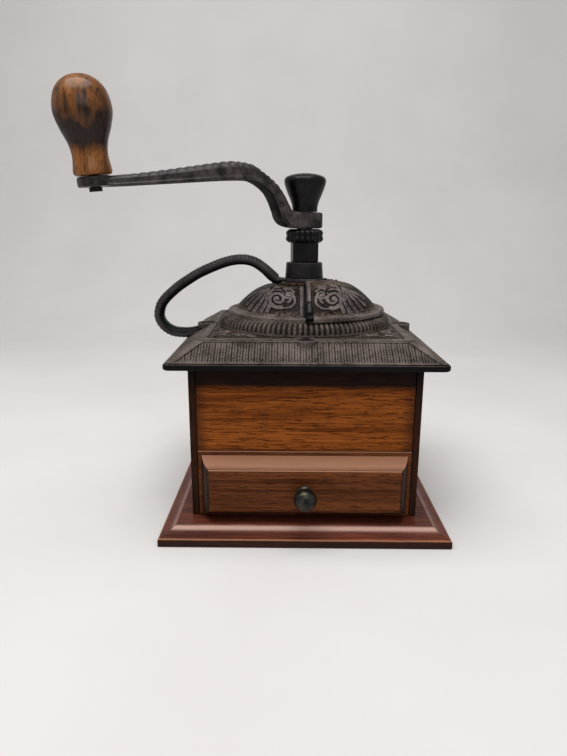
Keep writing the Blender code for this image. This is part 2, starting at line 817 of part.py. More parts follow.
def build_dome():
    """One casting: the ring round the mouth, the fixed half of the dome and the hub."""
    ring_outline = [(mouth_radius, ring_bottom)]
    ring_outline += [(ring_foot_radius - (ring_foot_radius - bead_radius) * inward, ring_bottom + ring_height * up)
                     for inward, up in ring_shares]
    ring_outline += [(bead_radius, ring_top + bead_height * 0.60), (bead_radius - bead_height * 0.28, bead_top),
                     (mouth_radius, bead_top)]
    dome = revolve("dome_casting", ring_outline, iron, start=facet_turn, steps=fine_steps)

    shell_start = hub_disc_radius - fixed_wall
    shell_end = bead_radius - bead_height * 0.28
    step = hub_disc_radius + lid_wall
    outer = [(shell_start, hub_disc_top), (step, hub_disc_top)]
    outer += dome_arc(step, dome_radius_at(bead_top - fit_gap, fixed_inset), fixed_inset, dome_points)
    inner = dome_arc(dome_radius_at(ring_top, fixed_inset + fixed_wall), shell_start, fixed_inset + fixed_wall,
                     dome_points)
    foot = [(shell_end - bead_height * 0.28, ring_top + bead_height / 2), (mouth_radius + fit_gap, ring_top)]
    shell = revolve("shell", outer + foot + inner, iron, start=math.pi / 2, sweep=math.pi, steps=fine_steps // 2)
    hub = revolve("hub", [
        (shaft_radius + fit_gap, hub_disc_bottom), (hub_disc_radius - fit_gap, hub_disc_bottom),
        (hub_disc_radius - fit_gap, hub_disc_top - fit_gap / 2), (hub_radius, hub_disc_top - fit_gap / 2),
        (hub_radius, collar_top - fit_gap), (shaft_radius + fit_gap, collar_top - fit_gap),
    ], iron, start=facet_turn / 2, steps=fine_steps // 2)
    join(dome, shell, hub)
    for x, y in hopper_screw_places():
        cut(dome, cylinder("hole", machine_screw_radius + fit_gap, ring_bottom - cut_overrun,
                           ring_bottom + hopper_screw_depth, iron, (x, y)))
    return dome


def dome_radius_at(height, inset):
    """Radius of the dome's shoulder at a height."""
    return math.sqrt((shoulder_radius - inset) ** 2 - (height - shoulder_centre_height) ** 2)


def lid_rim_inner():
    """The lid's rim clears the bead round the mouth."""
    return bead_radius + lid_clearance


def build_lid():
    """The swivelling half of the dome, with a ring that turns on the hub."""
    ring_outer = hub_disc_radius - lid_clearance
    rim_inner = lid_rim_inner()
    rim_outer = rim_inner + lid_rim_wall
    underside = bead_top + lid_clearance
    outer = [(ring_outer, lid_ring_top)]
    outer += dome_arc(ring_outer + lid_wall / 2, dome_radius_at(lid_rim_top, 0.0), 0.0, dome_points)
    rim = [(rim_outer - lid_rim_wall * 0.3, lid_rim_top), (rim_outer, lid_rim_top - lid_rim_height * 0.25),
           (rim_outer, lid_rim_bottom + lid_rim_height * 0.12),
           (rim_outer - lid_rim_wall * 0.2, lid_rim_bottom), (rim_inner, lid_rim_bottom),
           (rim_inner, underside)]
    inner = dome_arc(dome_radius_at(underside, lid_wall), ring_outer + lid_wall, lid_wall, dome_points)
    inner.append((ring_outer - lid_wall / 2, lid_ring_bottom))
    inner.append((ring_outer - lid_wall, lid_ring_bottom))
    inner.append((ring_outer - lid_wall, lid_ring_top))
    lid = revolve("hopper_lid", outer + rim + inner, iron, start=-math.pi / 2, sweep=math.pi,
                  steps=fine_steps // 2)
    pivot = revolve("pivot", [
        (hub_radius + fit_gap, lid_ring_bottom), (ring_outer - fit_gap, lid_ring_bottom),
        (ring_outer - fit_gap, lid_ring_top), (hub_radius + fit_gap, lid_ring_top),
    ], iron, steps=fine_steps // 2)
    join(lid, pivot)
    rivet_hole = tab_rivet("hole", tab_rivet_radius + fit_gap, lid_wall * 2, lid_wall * 2)
    cut(lid, rivet_hole)
    return lid


def tab_azimuth():
    """The tab stands beside the lid's front edge."""
    return -math.pi / 2 + (tab_width / 2 + slide_gap) / lid_rim_inner()


def tab_rivet(name, radius, out, into):
    """A pin along the dome's normal, in the middle of the part of the tab above the rim."""
    height = (lid_rim_top + tab_top) / 2
    reach = dome_radius_at(height, 0.0)
    outward = Vector((reach, 0.0, height - shoulder_centre_height)).normalized()
    pin = cylinder(name, radius, -into, out, dark_iron, steps=small_steps)
    turn = outward.to_track_quat("Z", "Y").to_matrix().to_4x4()
    pin.data.transform(Matrix.Rotation(tab_azimuth(), 4, "Z") @ Matrix.Translation((reach, 0.0, height)) @ turn)
    return pin


def build_tab():
    """The finger tab at the lid's front edge. It hooks over the rim and is riveted on."""
    rim_face = lid_rim_inner() + lid_rim_wall + fit_gap
    ledge = lid_rim_top + fit_gap
    ledge_middle = (rim_face + dome_radius_at(ledge, -fit_gap)) / 2
    sections = [
        (rim_face, tab_bottom, tab_thickness * 0.35, 0.0),
        (rim_face, tab_bottom + tab_thickness * 0.3, tab_thickness * 0.62, 0.0),
        (rim_face, ledge, tab_thickness * 0.72, tab_thickness * 0.3),
        (ledge_middle, ledge, tab_thickness * 0.9, tab_thickness * 0.75),
    ]
    for share, thick_share in ((0.12, 1.0), (0.45, 0.95), (0.8, 0.75), (1.0, 0.25)):
        height = ledge + (tab_top - ledge) * share
        radius = dome_radius_at(height, -fit_gap)
        rise = (height - shoulder_centre_height) / (shoulder_radius + fit_gap)
        run = radius / (shoulder_radius + fit_gap)
        sections.append((radius, height, tab_thickness * thick_share * run, tab_thickness * thick_share * rise))
    rings = []
    for index, (radius, height, out, up) in enumerate(sections):
        side = tab_width / 2 * (1.0 - 0.03 * index)
        rings.append([(radius + out * depth, across * side, height + up * depth)
                      for across, depth in ((-1, 0.0), (-1, 0.6), (-0.6, 1.0), (0.6, 1.0), (1, 0.6), (1, 0.0))])
    tab = piece("lid_tab", rings_to_shape(rings, False), dark_iron, 0.6)
    tab.data.transform(Matrix.Rotation(tab_azimuth(), 4, "Z"))
    return join(tab, tab_rivet("rivet", tab_rivet_radius, tab_thickness / 2, lid_wall))


def build_hopper():
    """The hopper bowl, cast in one with the housing that holds the outer burr."""
    flange_top = well_top - fit_gap
    flange_bottom = flange_top - bowl_flange_height
    drop = flange_top - throat_top
    inner = [(mouth_radius * r, throat_top + drop * h) for r, h in bowl_shares]
    bore = outer_burr_radius + fit_gap
    outside = bore + housing_wall
    outer = [(outside, throat_bottom), (outside + bowl_wall, throat_top)]
    for r, h in reversed(bowl_shares[:-1]):
        outer.append((mouth_radius * r + bowl_wall, throat_top + (drop - bowl_flange_height) * h))
    outline = inner + [(throat_radius, throat_top), (throat_radius, throat_bottom), (bore, throat_bottom),
                       (bore, housing_bottom), (outside, housing_bottom)] + outer
    outline += [(bowl_flange_radius, flange_bottom), (bowl_flange_radius, flange_top)]
    bowl = revolve("hopper_bowl", outline, iron)
    for side in (-1, 1):
        lug = cylinder("lug", lug_radius, housing_bottom + fit_gap / 3, housing_bottom + lug_height, iron,
                       (side * bridge_screw_reach, 0.0))
        join(bowl, lug)
        cut(bowl, cylinder("hole", machine_screw_radius + fit_gap, housing_bottom - cut_overrun,
                           housing_bottom + lug_height - fit_gap * 5, iron, (side * bridge_screw_reach, 0.0),
                           steps=small_steps // 2))
    for x, y in hopper_screw_places():
        cut(bowl, cylinder("hole", machine_screw_radius + fit_gap, flange_bottom - cut_overrun,
                           flange_top + cut_overrun, iron, (x, y), steps=small_steps // 2))
        made = screw("hopper_screw", machine_screw_radius,
                     ring_bottom + hopper_screw_depth - flange_bottom + machine_screw_head_height - fit_gap * 2,
                     machine_screw_head_radius, machine_screw_head_height, steel, countersunk=False)
        made.name = f"hopper_screw_{hopper_screw_places().index((x, y)) + 1}"
        place(made, x, y, flange_bottom - fit_gap - machine_screw_head_height, turn_x=math.pi)
    return bowl


def burr_profile(share):
    """Radius of the inner burr at a share of its height, wide at the foot and waisted above."""
    if share < 0.5:
        return inner_burr_foot_radius + (inner_burr_waist_radius - inner_burr_foot_radius) * share / 0.5
    return inner_burr_waist_radius + (inner_burr_top_radius - inner_burr_waist_radius) * (share - 0.5) / 0.5


def build_inner_burr():
    """A cone with spiral teeth, coarse above and fine at the foot, on a square bore."""
    per_tooth = 4
    count = inner_burr_teeth * per_tooth
    saw = (0.0, 0.35, 0.70, 1.0)
    rings = []
    for share in (0.0, 0.18, 0.36, 0.55, 0.75, 1.0):
        radius = burr_profile(share)
        depth = radius * (0.04 + 0.20 * share)
        ring = []
        for index in range(count):
            angle = math.tau * index / count + 1.1 * share
            reach = radius - depth * saw[index % per_tooth]
            ring.append((reach * math.cos(angle), reach * math.sin(angle), burr_bottom + burr_height * share))
        rings.append(ring)
    hole = burr_square_half + fit_gap
    rings.append(square_loop(hole, burr_top, count))
    rings.append(square_loop(hole, burr_bottom, count))
    return piece("inner_burr", rings_to_shape(rings, True), dark_iron)


def build_outer_burr():
    """The fixed ring with straight teeth inside and a flange that the bridge clamps."""
    per_tooth = 3
    count = outer_burr_teeth * per_tooth
    rings = []
    for share, tooth_share in ((0.0, 1.0), (0.25, 1.0), (0.5, 1.5), (0.75, 2.2), (1.0, 2.6)):
        radius = burr_profile(share * 0.62) + burr_running_gap
        depth = outer_tooth_depth * tooth_share
        ring = []
        for index in range(count):
            reach = radius + depth * (index % per_tooth) / (per_tooth - 1)
            angle = math.tau * index / count
            ring.append((reach * math.cos(angle), reach * math.sin(angle), burr_bottom + burr_height * share))
        rings.append(ring)
    flange_bottom = burr_bottom - burr_flange_height - fit_gap
    flange_top = flange_bottom + burr_flange_height - fit_gap / 2
    mouth = inner_burr_foot_radius + burr_running_gap + outer_tooth_depth
    rings.append(circle_loop(outer_burr_radius, burr_top, count))
    rings.append(circle_loop(outer_burr_radius, flange_top, count))
    rings.append(circle_loop(burr_flange_radius, flange_top, count))
    rings.append(circle_loop(burr_flange_radius, flange_bottom, count))
    rings.append(circle_loop(mouth, flange_bottom, count))
    burr = piece("outer_burr", rings_to_shape(rings, True), dark_iron)
    for side in (-1, 1):
        cut(burr, cylinder("hole", machine_screw_radius + fit_gap, flange_bottom - cut_overrun,
                           flange_top + cut_overrun, iron, (side * bridge_screw_reach, 0.0),
                           steps=small_steps // 2))
    return burr


def build_bridge():
    """The bridge that clamps the outer burr and steadies the foot of the shaft."""
    top = burr_bottom - burr_flange_height - fit_gap * 2
    bar_top = top - bridge_foot_height
    bottom = bar_top - bridge_thickness
    half = bridge_half_length
    foot = half - bridge_foot_length
    outline = [(-half, bottom), (half, bottom), (half, top), (foot, top), (foot, bar_top),
               (-foot, bar_top), (-foot, top), (-half, top)]
    bridge = prism("burr_bridge", outline, -bridge_width / 2, bridge_width / 2, iron, axis="Y")
    cut(bridge, cylinder("bore", pivot_radius + fit_gap, bottom - cut_overrun, top, iron))
    for side in (-1, 1):
        x = side * bridge_screw_reach
        cut(bridge, cylinder("hole", machine_screw_radius + fit_gap, bottom - cut_overrun, top + cut_overrun, iron,
                             (x, 0.0), steps=small_steps // 2))
        length = housing_bottom + lug_height - fit_gap * 7 - bottom + machine_screw_head_height
        made = screw(f"bridge_screw_{'right' if side > 0 else 'left'}", machine_screw_radius, length,
                     machine_screw_head_radius, machine_screw_head_height, steel, countersunk=False)
        place(made, x, 0.0, bottom - fit_gap - machine_screw_head_height, turn_x=math.pi)
    return bridge


def build_shaft():
    """The shaft: pivot, square for the burr, shoulder, plain length, square and stud for the crank."""
    count = small_steps + 8
    burr_seat_low = burr_bottom - fit_gap
    shoulder_low = burr_top + fit_gap
    shoulder_high = shoulder_low + shoulder_collar_height
    square_low = crank_eye_bottom - fit_gap
    square_high = crank_eye_top + fit_gap / 2
    rings = [
        circle_loop(pivot_radius, shaft_bottom, count), circle_loop(pivot_radius, burr_seat_low, count),
        square_loop(burr_square_half, burr_seat_low, count), square_loop(burr_square_half, shoulder_low, count),
        circle_loop(shoulder_collar_radius, shoulder_low, count),
        circle_loop(shoulder_collar_radius, shoulder_high, count),
        circle_loop(shaft_radius, shoulder_high, count), circle_loop(shaft_radius, square_low, count),
        square_loop(crank_square_half, square_low, count), square_loop(crank_square_half, square_high, count),
        circle_loop(stud_radius, square_high, count), circle_loop(stud_radius, square_high + stud_length, count),
    ]
    shaft = piece("spindle_shaft", rings_to_shape(rings, False), steel, 0.6)
    pin_height = spring_bottom - fit_gap * 2 - washer_thickness - pin_radius
    hole = cylinder("hole", pin_radius + fit_gap, -pin_length, pin_length, steel, steps=small_steps // 2)
    hole.data.transform(Matrix.Translation((0.0, 0.0, pin_height)) @ Matrix.Rotation(math.pi / 2, 4, "Y"))
    cut(shaft, hole)
    pin = cylinder("spring_pin", pin_radius, -pin_length / 2, pin_length / 2, steel, steps=small_steps // 2)
    pin.location = (0.0, 0.0, pin_height)
    pin.rotation_euler = (0.0, math.pi / 2, 0.0)
    revolve("spring_washer", [
        (shaft_radius + fit_gap, spring_bottom - fit_gap - washer_thickness),
        (washer_radius, spring_bottom - fit_gap - washer_thickness),
        (washer_radius, spring_bottom - fit_gap), (shaft_radius + fit_gap, spring_bottom - fit_gap),
    ], steel, steps=small_steps + 8)
    return shaft


def build_spring():
    """The spring that holds the shaft down, as one unbroken tube."""
    per_coil = 10
    rise = hub_disc_bottom - fit_gap - spring_bottom - spring_wire
    total = spring_coils * per_coil
    centres = []
    for index in range(total + 1):
        angle = math.tau * index / per_coil
        height = spring_bottom + spring_wire / 2 + rise * index / total
        centres.append(Vector((spring_mean_radius * math.cos(angle), spring_mean_radius * math.sin(angle), height)))
    rings = []
    for index, centre in enumerate(centres):
        ahead = centres[min(index + 1, total)] - centres[max(index - 1, 0)]
        outward = Vector((centre.x, centre.y, 0.0)).normalized()
        upward = outward.cross(ahead).normalized()
        ring = []
        for side in range(6):
            angle = math.tau * side / 6
            ring.append(centre + (outward * math.cos(angle) + upward * math.sin(angle)) * spring_wire / 2)
        rings.append(ring)
    gap = min((centres[i] - centres[j]).length for i in range(total + 1)
              for j in range(i + per_coil // 2, total + 1)) - spring_wire
    print(f"spring: least gap between coils {gap * 1000:.2f} mm")
    return piece("spindle_spring", rings_to_shape(rings, False), steel, 0.9)


def build_burr_nut():
    """The hexagon nut that holds the inner burr on its square."""
    top = burr_bottom - fit_gap * 2
    bottom = top - burr_nut_height
    count = small_steps
    rings = []
    for height in (bottom, top):
        ring = []
        for index in range(count):
            angle = math.tau * index / count
            turn = (angle + math.pi / 6) % (math.pi / 3) - math.pi / 6
            reach = burr_nut_flats / 2 / math.cos(turn)
            ring.append((reach * math.cos(angle), reach * math.sin(angle), height))
        rings.append(ring)
    rings.append(circle_loop(pivot_radius + fit_gap, top, count))
    rings.append(circle_loop(pivot_radius + fit_gap, bottom, count))
    return piece("burr_nut", rings_to_shape(rings, True), steel)


def build_collar():
    """The plain collar over the hub, which keeps the handle eye and the lid down."""
    chamfer = fit_gap * 2
    outline = [
        (hub_radius + fit_gap, collar_bottom), (collar_foot_radius, collar_bottom),
        (collar_top_radius, collar_top - chamfer), (collar_top_radius - chamfer, collar_top),
        (hub_radius + fit_gap, collar_top),
    ]
    return revolve("bearing_collar", outline, dark_iron, steps=fine_steps // 2)


def build_adjusting_nut():
    """The nut that sets the grind: a six-sided barrel under a beaded flange."""
    per_bead = 4
    count = nut_beads * per_bead
    wave = (0.0, 0.75, 1.0, 0.75)
    flange_bottom = nut_bottom + nut_barrel_height
    rings = []
    for height in (nut_bottom, flange_bottom):
        ring = []
        for index in range(count):
            angle = math.tau * index / count
            turn = angle % (math.pi / 3) - math.pi / 6
            reach = nut_barrel_radius * math.cos(math.pi / 6) / math.cos(turn)
            ring.append((reach * math.cos(angle), reach * math.sin(angle), height))
        rings.append(ring)
    for share, reach_share in ((0.08, 0.86), (0.28, 0.97), (0.5, 1.0), (0.72, 0.97), (0.92, 0.86), (1.0, 0.74)):
        height = flange_bottom + nut_flange_height * share
        ring = []
        for index in range(count):
            angle = math.tau * index / count
            reach = nut_flange_radius * (reach_share - nut_bead_depth_share * (1.0 - wave[index % per_bead]))
            ring.append((reach * math.cos(angle), reach * math.sin(angle), height))
        rings.append(ring)
    rings.append(circle_loop(shaft_radius + fit_gap, nut_top, count))
    rings.append(circle_loop(shaft_radius + fit_gap, nut_bottom, count))
    nut = piece("adjusting_nut", rings_to_shape(rings, True), dark_iron, 0.5)
    nut.data.transform(Matrix.Rotation(nut_rest_angle, 4, "Z"))
    return nut


def crank_section(centre, tangent, thickness, width):
    """One section of the crank: a crowned top and a channel underneath."""
    upward = Vector((-tangent.z, 0.0, tangent.x))
    if upward.z < 0.0:
        upward.negate()
    half = width / 2
    rim = half * (1.0 - crank_rim_share)
    top = thickness / 2
    channel = top * 2 * crank_channel_share
    points = [(-half, -top), (-half, top * 0.35), (-half * 0.72, top * 0.82), (-half * 0.3, top),
              (half * 0.3, top), (half * 0.72, top * 0.82), (half, top * 0.35), (half, -top),
              (rim, -top), (rim * 0.8, -top + channel), (-rim * 0.8, -top + channel), (-rim, -top)]
    return [centre + Vector((0.0, across, 0.0)) + upward * up for across, up in points]


def build_crank():
    """The cast crank: eye, swan neck with a channel underneath, and the pad for the grip."""
    stations = [(-crank_reach * x, crank_eye_middle + crank_rise * z, crank_eye_height * t)
                for (x, z), t in zip(crank_path_shares, crank_thickness_shares)]
    curve = smooth_curve(stations, 2)
    rings = []
    for index, (x, z, thickness) in enumerate(curve):
        before = curve[max(index - 1, 0)]
        after = curve[min(index + 1, len(curve) - 1)]
        tangent = Vector((after[0] - before[0], 0.0, after[1] - before[1])).normalized()
        rings.append(crank_section(Vector((x, 0.0, z)), tangent, thickness, crank_width))
    crank = piece("crank_arm", rings_to_shape(rings, False), dark_iron, 0.6)
    loops = [corner_loop(crank_eye_reach, crank_eye_width / 2, height, crank_eye_corner)
             for height in (crank_eye_bottom, crank_eye_top)]
    eye = piece("eye", rings_to_shape(loops, False), dark_iron)
    pad = cylinder("pad", crank_pad_radius, -crank_pad_thickness / 2, crank_pad_thickness / 2, dark_iron,
                   steps=small_steps * 2)
    pad.data.transform(grip_place())
    join(crank, eye, pad)
    hole = square_loop(crank_square_half + fit_gap, 0.0, small_steps + 8)
    rings = [[(x, y, height) for x, y, _ in hole]
             for height in (crank_eye_bottom - cut_overrun, crank_eye_top + cut_overrun)]
    square_hole = piece("square_hole", rings_to_shape(rings, False), dark_iron)
    stud_hole = cylinder("stud_hole", grip_stud_radius + fit_gap, -crank_pad_thickness, crank_pad_thickness,
                         dark_iron)
    stud_hole.data.transform(grip_place())
    cut(crank, square_hole, stud_hole)
    return crank


def grip_place():
    """Place of the grip's pad, before the crank is turned to where it rests."""
    height = crank_eye_middle + crank_rise * crank_path_shares[-1][1]
    return Matrix.Translation((-crank_reach, 0.0, height)) @ Matrix.Rotation(-grip_lean, 4, "Y")


def build_grip():
    """The turned grip and the headed stud that it spins on."""
    hole = grip_stud_radius + fit_gap
    outline = [(0.0, grip_stud_depth), (hole, grip_stud_depth), (hole, 0.0)]
    outline += [(grip_radius * r, grip_length * h) for h, r in smooth_curve(grip_shares, 2)]
    outline.append((0.0, grip_length))
    seat = Matrix.Translation((0.0, 0.0, crank_pad_thickness / 2 + grip_seat_gap))
    grip = revolve("crank_grip", outline, grip_wood, steps=round_steps - 8)
    grip.data.transform(grip_place() @ seat)
    under = -crank_pad_thickness / 2 - fit_gap
    stud = revolve("grip_stud", [
        (0.0, under - grip_stud_head_height), (grip_stud_head_radius, under - grip_stud_head_height),
        (grip_stud_head_radius, under), (grip_stud_radius, under),
        (grip_stud_radius, grip_stud_depth - fit_gap * 2), (0.0, grip_stud_depth - fit_gap * 2),
    ], dark_iron, steps=small_steps)
    stud.data.transform(grip_place())
    return grip, stud


def build_top_knob():
    """The flared knob that screws down on the shaft and holds the crank."""
    bottom = crank_eye_top + fit_gap
    hole = stud_radius + fit_gap
    depth = stud_length + fit_gap
    outline = [(0.0, bottom + depth), (hole, bottom + depth), (hole, bottom)]
    outline += [(top_knob_radius * r, bottom + top_knob_height * h) for h, r in top_knob_shares]
    outline.append((0.0, bottom + top_knob_height))
    return revolve("top_knob", outline, dark_iron, steps=fine_steps // 2)


def build_handle():
    """The carry handle: an eye on the hub and a swept bar whose foot is cut to sit on the left slope."""
    eye_middle = (eye_bottom + eye_top) / 2
    rise = handle_top - handle_foot
    thin = handle_eye_height / handle_thickness
    stations = [(handle_eye_radius * 0.85, eye_middle, thin),
                (handle_eye_radius * 1.2, eye_middle + fit_gap, thin * 1.3),
                (handle_eye_radius * 1.55, eye_middle + handle_eye_height * 1.25, 0.8)]
    stations += [(handle_reach * x, handle_foot + rise * z, 1.0) for x, z in handle_path_shares]
    curve = smooth_curve(stations, 2)
    rings = []
    for index, (x, z, thick_share) in enumerate(curve):
        before = curve[max(index - 1, 0)]
        after = curve[min(index + 1, len(curve) - 1)]
        tangent = Vector((before[0] - after[0], 0.0, after[1] - before[1])).normalized()
        outward = Vector((-tangent.z, 0.0, tangent.x))
        half = handle_thickness * thick_share / 2
        side = handle_width / 2
        centre = Vector((-x, 0.0, z))
        ring = [centre + Vector((0.0, across * side, 0.0)) + outward * up * half
                for across, up in ((-0.55, -1), (0.55, -1), (0.95, -0.5), (1, 0.1), (0.75, 0.75), (0.3, 1),
                                   (-0.3, 1), (-0.75, 0.75), (-1, 0.1), (-0.95, -0.5))]
        rings.append(ring)
    handle = piece("carry_handle", rings_to_shape(rings, False), iron, 0.7)
    join(handle, cylinder("eye", handle_eye_radius, eye_bottom, eye_top, iron, steps=fine_steps // 2))

    seat = slope_direction() * fit_gap
    low = Vector((-eave_half_x, 0.0, roof_bottom + eave_lip_height)) + seat
    high = Vector((roof_slope_run - eave_half_x, 0.0, roof_bottom + roof_break_height)) + seat
    below = low - (high - low)
    outline = [(below.x, below.z), (high.x, high.z), (0.0, high.z), (0.0, below.z)]
    slope = prism("slope", outline, -handle_width, handle_width, iron, axis="Y")
    x, y = roof_screw_places()["left"]
    boss = cylinder("boss", boss_radius + fit_gap, roof_bottom, roof_top + handle_thickness, iron, (x, y))
    bore = cylinder("bore", hub_radius + fit_gap, eye_bottom - cut_overrun, eye_top + cut_overrun, iron,
                    steps=fine_steps // 2)
    hole = cylinder("hole", machine_screw_radius + fit_gap, -roof_shell, handle_screw_bite + fit_gap * 2, iron)
    hole.data.transform(slope_place())
    return cut(handle, slope, boss, bore, hole)


def turn_crank_to_rest(items):
    """Turn the shaft's set about Z to where the photograph shows the crank."""
    axis = bpy.data.objects.new("crank_axis", None)
    bpy.context.collection.objects.link(axis)
    axis.rotation_euler = (0.0, 0.0, crank_rest_angle)
    for item in items:
        item.parent = axis


build_base()
build_box()
build_drawer()
build_roof()
build_roof_screws()
build_dome()
build_lid()
build_tab()
build_hopper()
build_inner_burr()
build_outer_burr()
build_bridge()
build_shaft()
build_spring()
build_burr_nut()
build_collar()
build_adjusting_nut()
build_crank()
build_grip()
build_top_knob()
build_handle()
turn_crank_to_rest([bpy.data.objects[name] for name in (
    "spindle_shaft", "inner_burr", "burr_nut", "spring_pin", "spring_washer", "spindle_spring",
    "adjusting_nut", "crank_arm", "crank_grip", "grip_stud", "top_knob")])
bpy.context.view_layer.update()
print("pieces:", len([item for item in bpy.data.objects if item.type == "MESH"]))
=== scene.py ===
# %% [markdown]
# # A box coffee mill, from bare solids to a portrait
# The mill comes in as plain solids at their real size. This lesson gives it the things that make it look
# old and used: cast ribs, scrolls and leaves on the dome, a rope edge on the crank, wood with pores and
# grime, and dust in the hollows. Every shape below is worked out with numpy as a surface of two
# parameters, so a change of one number changes the whole form. Run the cells from top to bottom.

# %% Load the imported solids
import math

import bmesh
import bpy
import numpy as np
from mathutils import Matrix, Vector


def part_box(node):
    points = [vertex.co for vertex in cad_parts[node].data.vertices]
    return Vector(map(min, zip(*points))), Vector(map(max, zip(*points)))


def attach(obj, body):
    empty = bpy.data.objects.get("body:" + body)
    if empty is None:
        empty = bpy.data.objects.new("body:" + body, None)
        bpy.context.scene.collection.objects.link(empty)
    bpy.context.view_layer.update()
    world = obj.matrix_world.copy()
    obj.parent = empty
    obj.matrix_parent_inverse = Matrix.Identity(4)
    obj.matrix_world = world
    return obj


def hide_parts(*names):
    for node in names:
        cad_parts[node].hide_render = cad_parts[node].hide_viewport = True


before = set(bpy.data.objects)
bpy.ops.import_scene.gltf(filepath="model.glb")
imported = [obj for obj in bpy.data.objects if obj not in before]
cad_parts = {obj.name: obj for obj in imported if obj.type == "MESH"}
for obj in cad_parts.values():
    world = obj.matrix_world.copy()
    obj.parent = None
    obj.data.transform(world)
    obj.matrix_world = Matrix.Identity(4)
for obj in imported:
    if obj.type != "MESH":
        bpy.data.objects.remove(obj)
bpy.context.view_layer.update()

# %% [markdown]
# ## Measures
# Blender works in metres and a caster in millimetres, so one factor turns one into the other. The places
# of the new surfaces are read from the boxes of the solids that they dress.

# %% Units and the solids' boxes
mm = 0.001
full_turn = 2.0 * math.pi
fit_gap = 0.3 * mm
shaft_hole = 5.3 * mm
neck_radius, neck_hole = 8.0 * mm, 8.3 * mm


def node_box(name):
    """Lowest and highest corner of one solid, as arrays."""
    low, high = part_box(name)
    return np.array(low), np.array(high)


base_high = node_box("base_board")[1]
roof_low, roof_high = node_box("roof_casting")
dome_low, dome_high = node_box("dome_casting")
collar_low, collar_high = node_box("bearing_collar")
nut_low, nut_high = node_box("adjusting_nut")
knob_low, knob_high = node_box("top_knob")
front_low, front_high = node_box("drawer_front")
print("roof", np.round(roof_low / mm, 1), np.round(roof_high / mm, 1))

# %% [markdown]
# ## The camera
# The photograph was taken a little above the roof, from straight in front, with the lens tipped down by
# about fourteen degrees. Three turns place the camera: about Z for its heading, about X for the tip, and
# about its own axis for the slight lean.

# %% Camera
camera_place = (-8.761 * mm, -366.317 * mm, 169.714 * mm)
camera_heading, camera_tip, camera_lean = 0.0101692, 0.252824, 0.0030663
camera_lens = 27.979

lens = bpy.data.cameras.new("portrait_camera")
lens.lens = camera_lens
lens.clip_start = 0.01
camera = bpy.data.objects.new("portrait_camera", lens)
bpy.context.collection.objects.link(camera)
camera.matrix_world = (Matrix.Translation(camera_place) @ Matrix.Rotation(camera_heading, 4, "Z")
                       @ Matrix.Rotation(math.pi / 2 - camera_tip, 4, "X")
                       @ Matrix.Rotation(camera_lean, 4, "Z"))
bpy.context.scene.camera = camera
print("camera at", [round(value, 3) for value in camera_place])

# %% [markdown]
# ## Making a mesh from a grid
# A surface of two parameters is a grid of points, and the faces between the points are the same for every
# grid: each joins a point, its neighbour, and the two beside them in the next row. A grid may wrap round
# on itself in one or both directions. Extruding and spinning by hand would give the same forms, but here
# each piece is one formula, and one function builds them all. Points that fall together are merged, which
# closes poles and seams, and the normals are then turned outwards.

# %% Grid helpers


def grid_faces(rows, columns, wrap_rows=False, wrap_columns=False):
    """Quads of a grid: (r, c), (r, c + 1), (r + 1, c + 1), (r + 1, c)."""
    r = np.arange(rows if wrap_rows else rows - 1)[:, None]
    c = np.arange(columns if wrap_columns else columns - 1)[None, :]
    r_next, c_next = (r + 1) % rows, (c + 1) % columns
    quads = np.stack(np.broadcast_arrays(r * columns + c, r * columns + c_next,
                                         r_next * columns + c_next, r_next * columns + c), -1)
    return quads.reshape(-1, 4)


merge_reach = 0.002 * mm


def make_piece(name, points, quads, finish, crease=40.0, **marks):
    """Put a grid of points, its quads and its marks into a mesh, merge doubles and turn the faces outwards.

    Edges sharper than crease degrees stay sharp. A mark is one number, or one for each point of the grid.
    """
    grid = points.shape[:-1]
    points = np.ascontiguousarray(points, np.float32).reshape(-1, 3)
    quads = np.ascontiguousarray(quads, np.int32)
    mesh = bpy.data.meshes.new(name)
    mesh.vertices.add(len(points))
    mesh.vertices.foreach_set("co", points.ravel())
    mesh.loops.add(quads.size)
    mesh.loops.foreach_set("vertex_index", quads.ravel())
    mesh.polygons.add(len(quads))
    mesh.polygons.foreach_set("loop_start", np.arange(0, quads.size, 4, dtype=np.int32))
    mesh.update(calc_edges=True)
    for mark, values in marks.items():
        values = np.ascontiguousarray(np.broadcast_to(values, grid), np.float32)
        mesh.attributes.new(mark, "FLOAT", "POINT").data.foreach_set("value", values.ravel())
    shape = bmesh.new()
    shape.from_mesh(mesh)
    bmesh.ops.remove_doubles(shape, verts=shape.verts, dist=merge_reach)
    bmesh.ops.dissolve_degenerate(shape, edges=shape.edges, dist=merge_reach)
    bmesh.ops.recalc_face_normals(shape, faces=shape.faces)
    shape.to_mesh(mesh)
    shape.free()
    mesh.shade_smooth()
    mesh.set_sharp_from_angle(angle=math.radians(crease))
    mesh.materials.append(finish)
    piece = bpy.data.objects.new(name, mesh)
    bpy.context.collection.objects.link(piece)
    return piece


def settle(piece, body, slot, *stands_for):
    """Let a piece ride on a body and hide the solids that it stands for. The slot is not used."""
    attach(piece, body)
    if stands_for:
        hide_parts(*stands_for)
    print(f"{piece.name}: {len(piece.data.polygons)} faces on {body}")
    return piece


print("a grid of 3 by 4 points has", len(grid_faces(3, 4)), "faces")


# %% [markdown]
# ## Profiles, lathes and sweeps
# Turned and cast parts share two moves. A lathe turns a profile of radius and height round the axis. A
# sweep carries a section along a path. Blender's Screw modifier and bevelled curves do the same, but they
# leave no say over each point, and ribs and ropes need that. Both moves want profiles whose corners are
# slightly rounded, because a perfectly sharp edge catches no light.

# %% Shape helpers


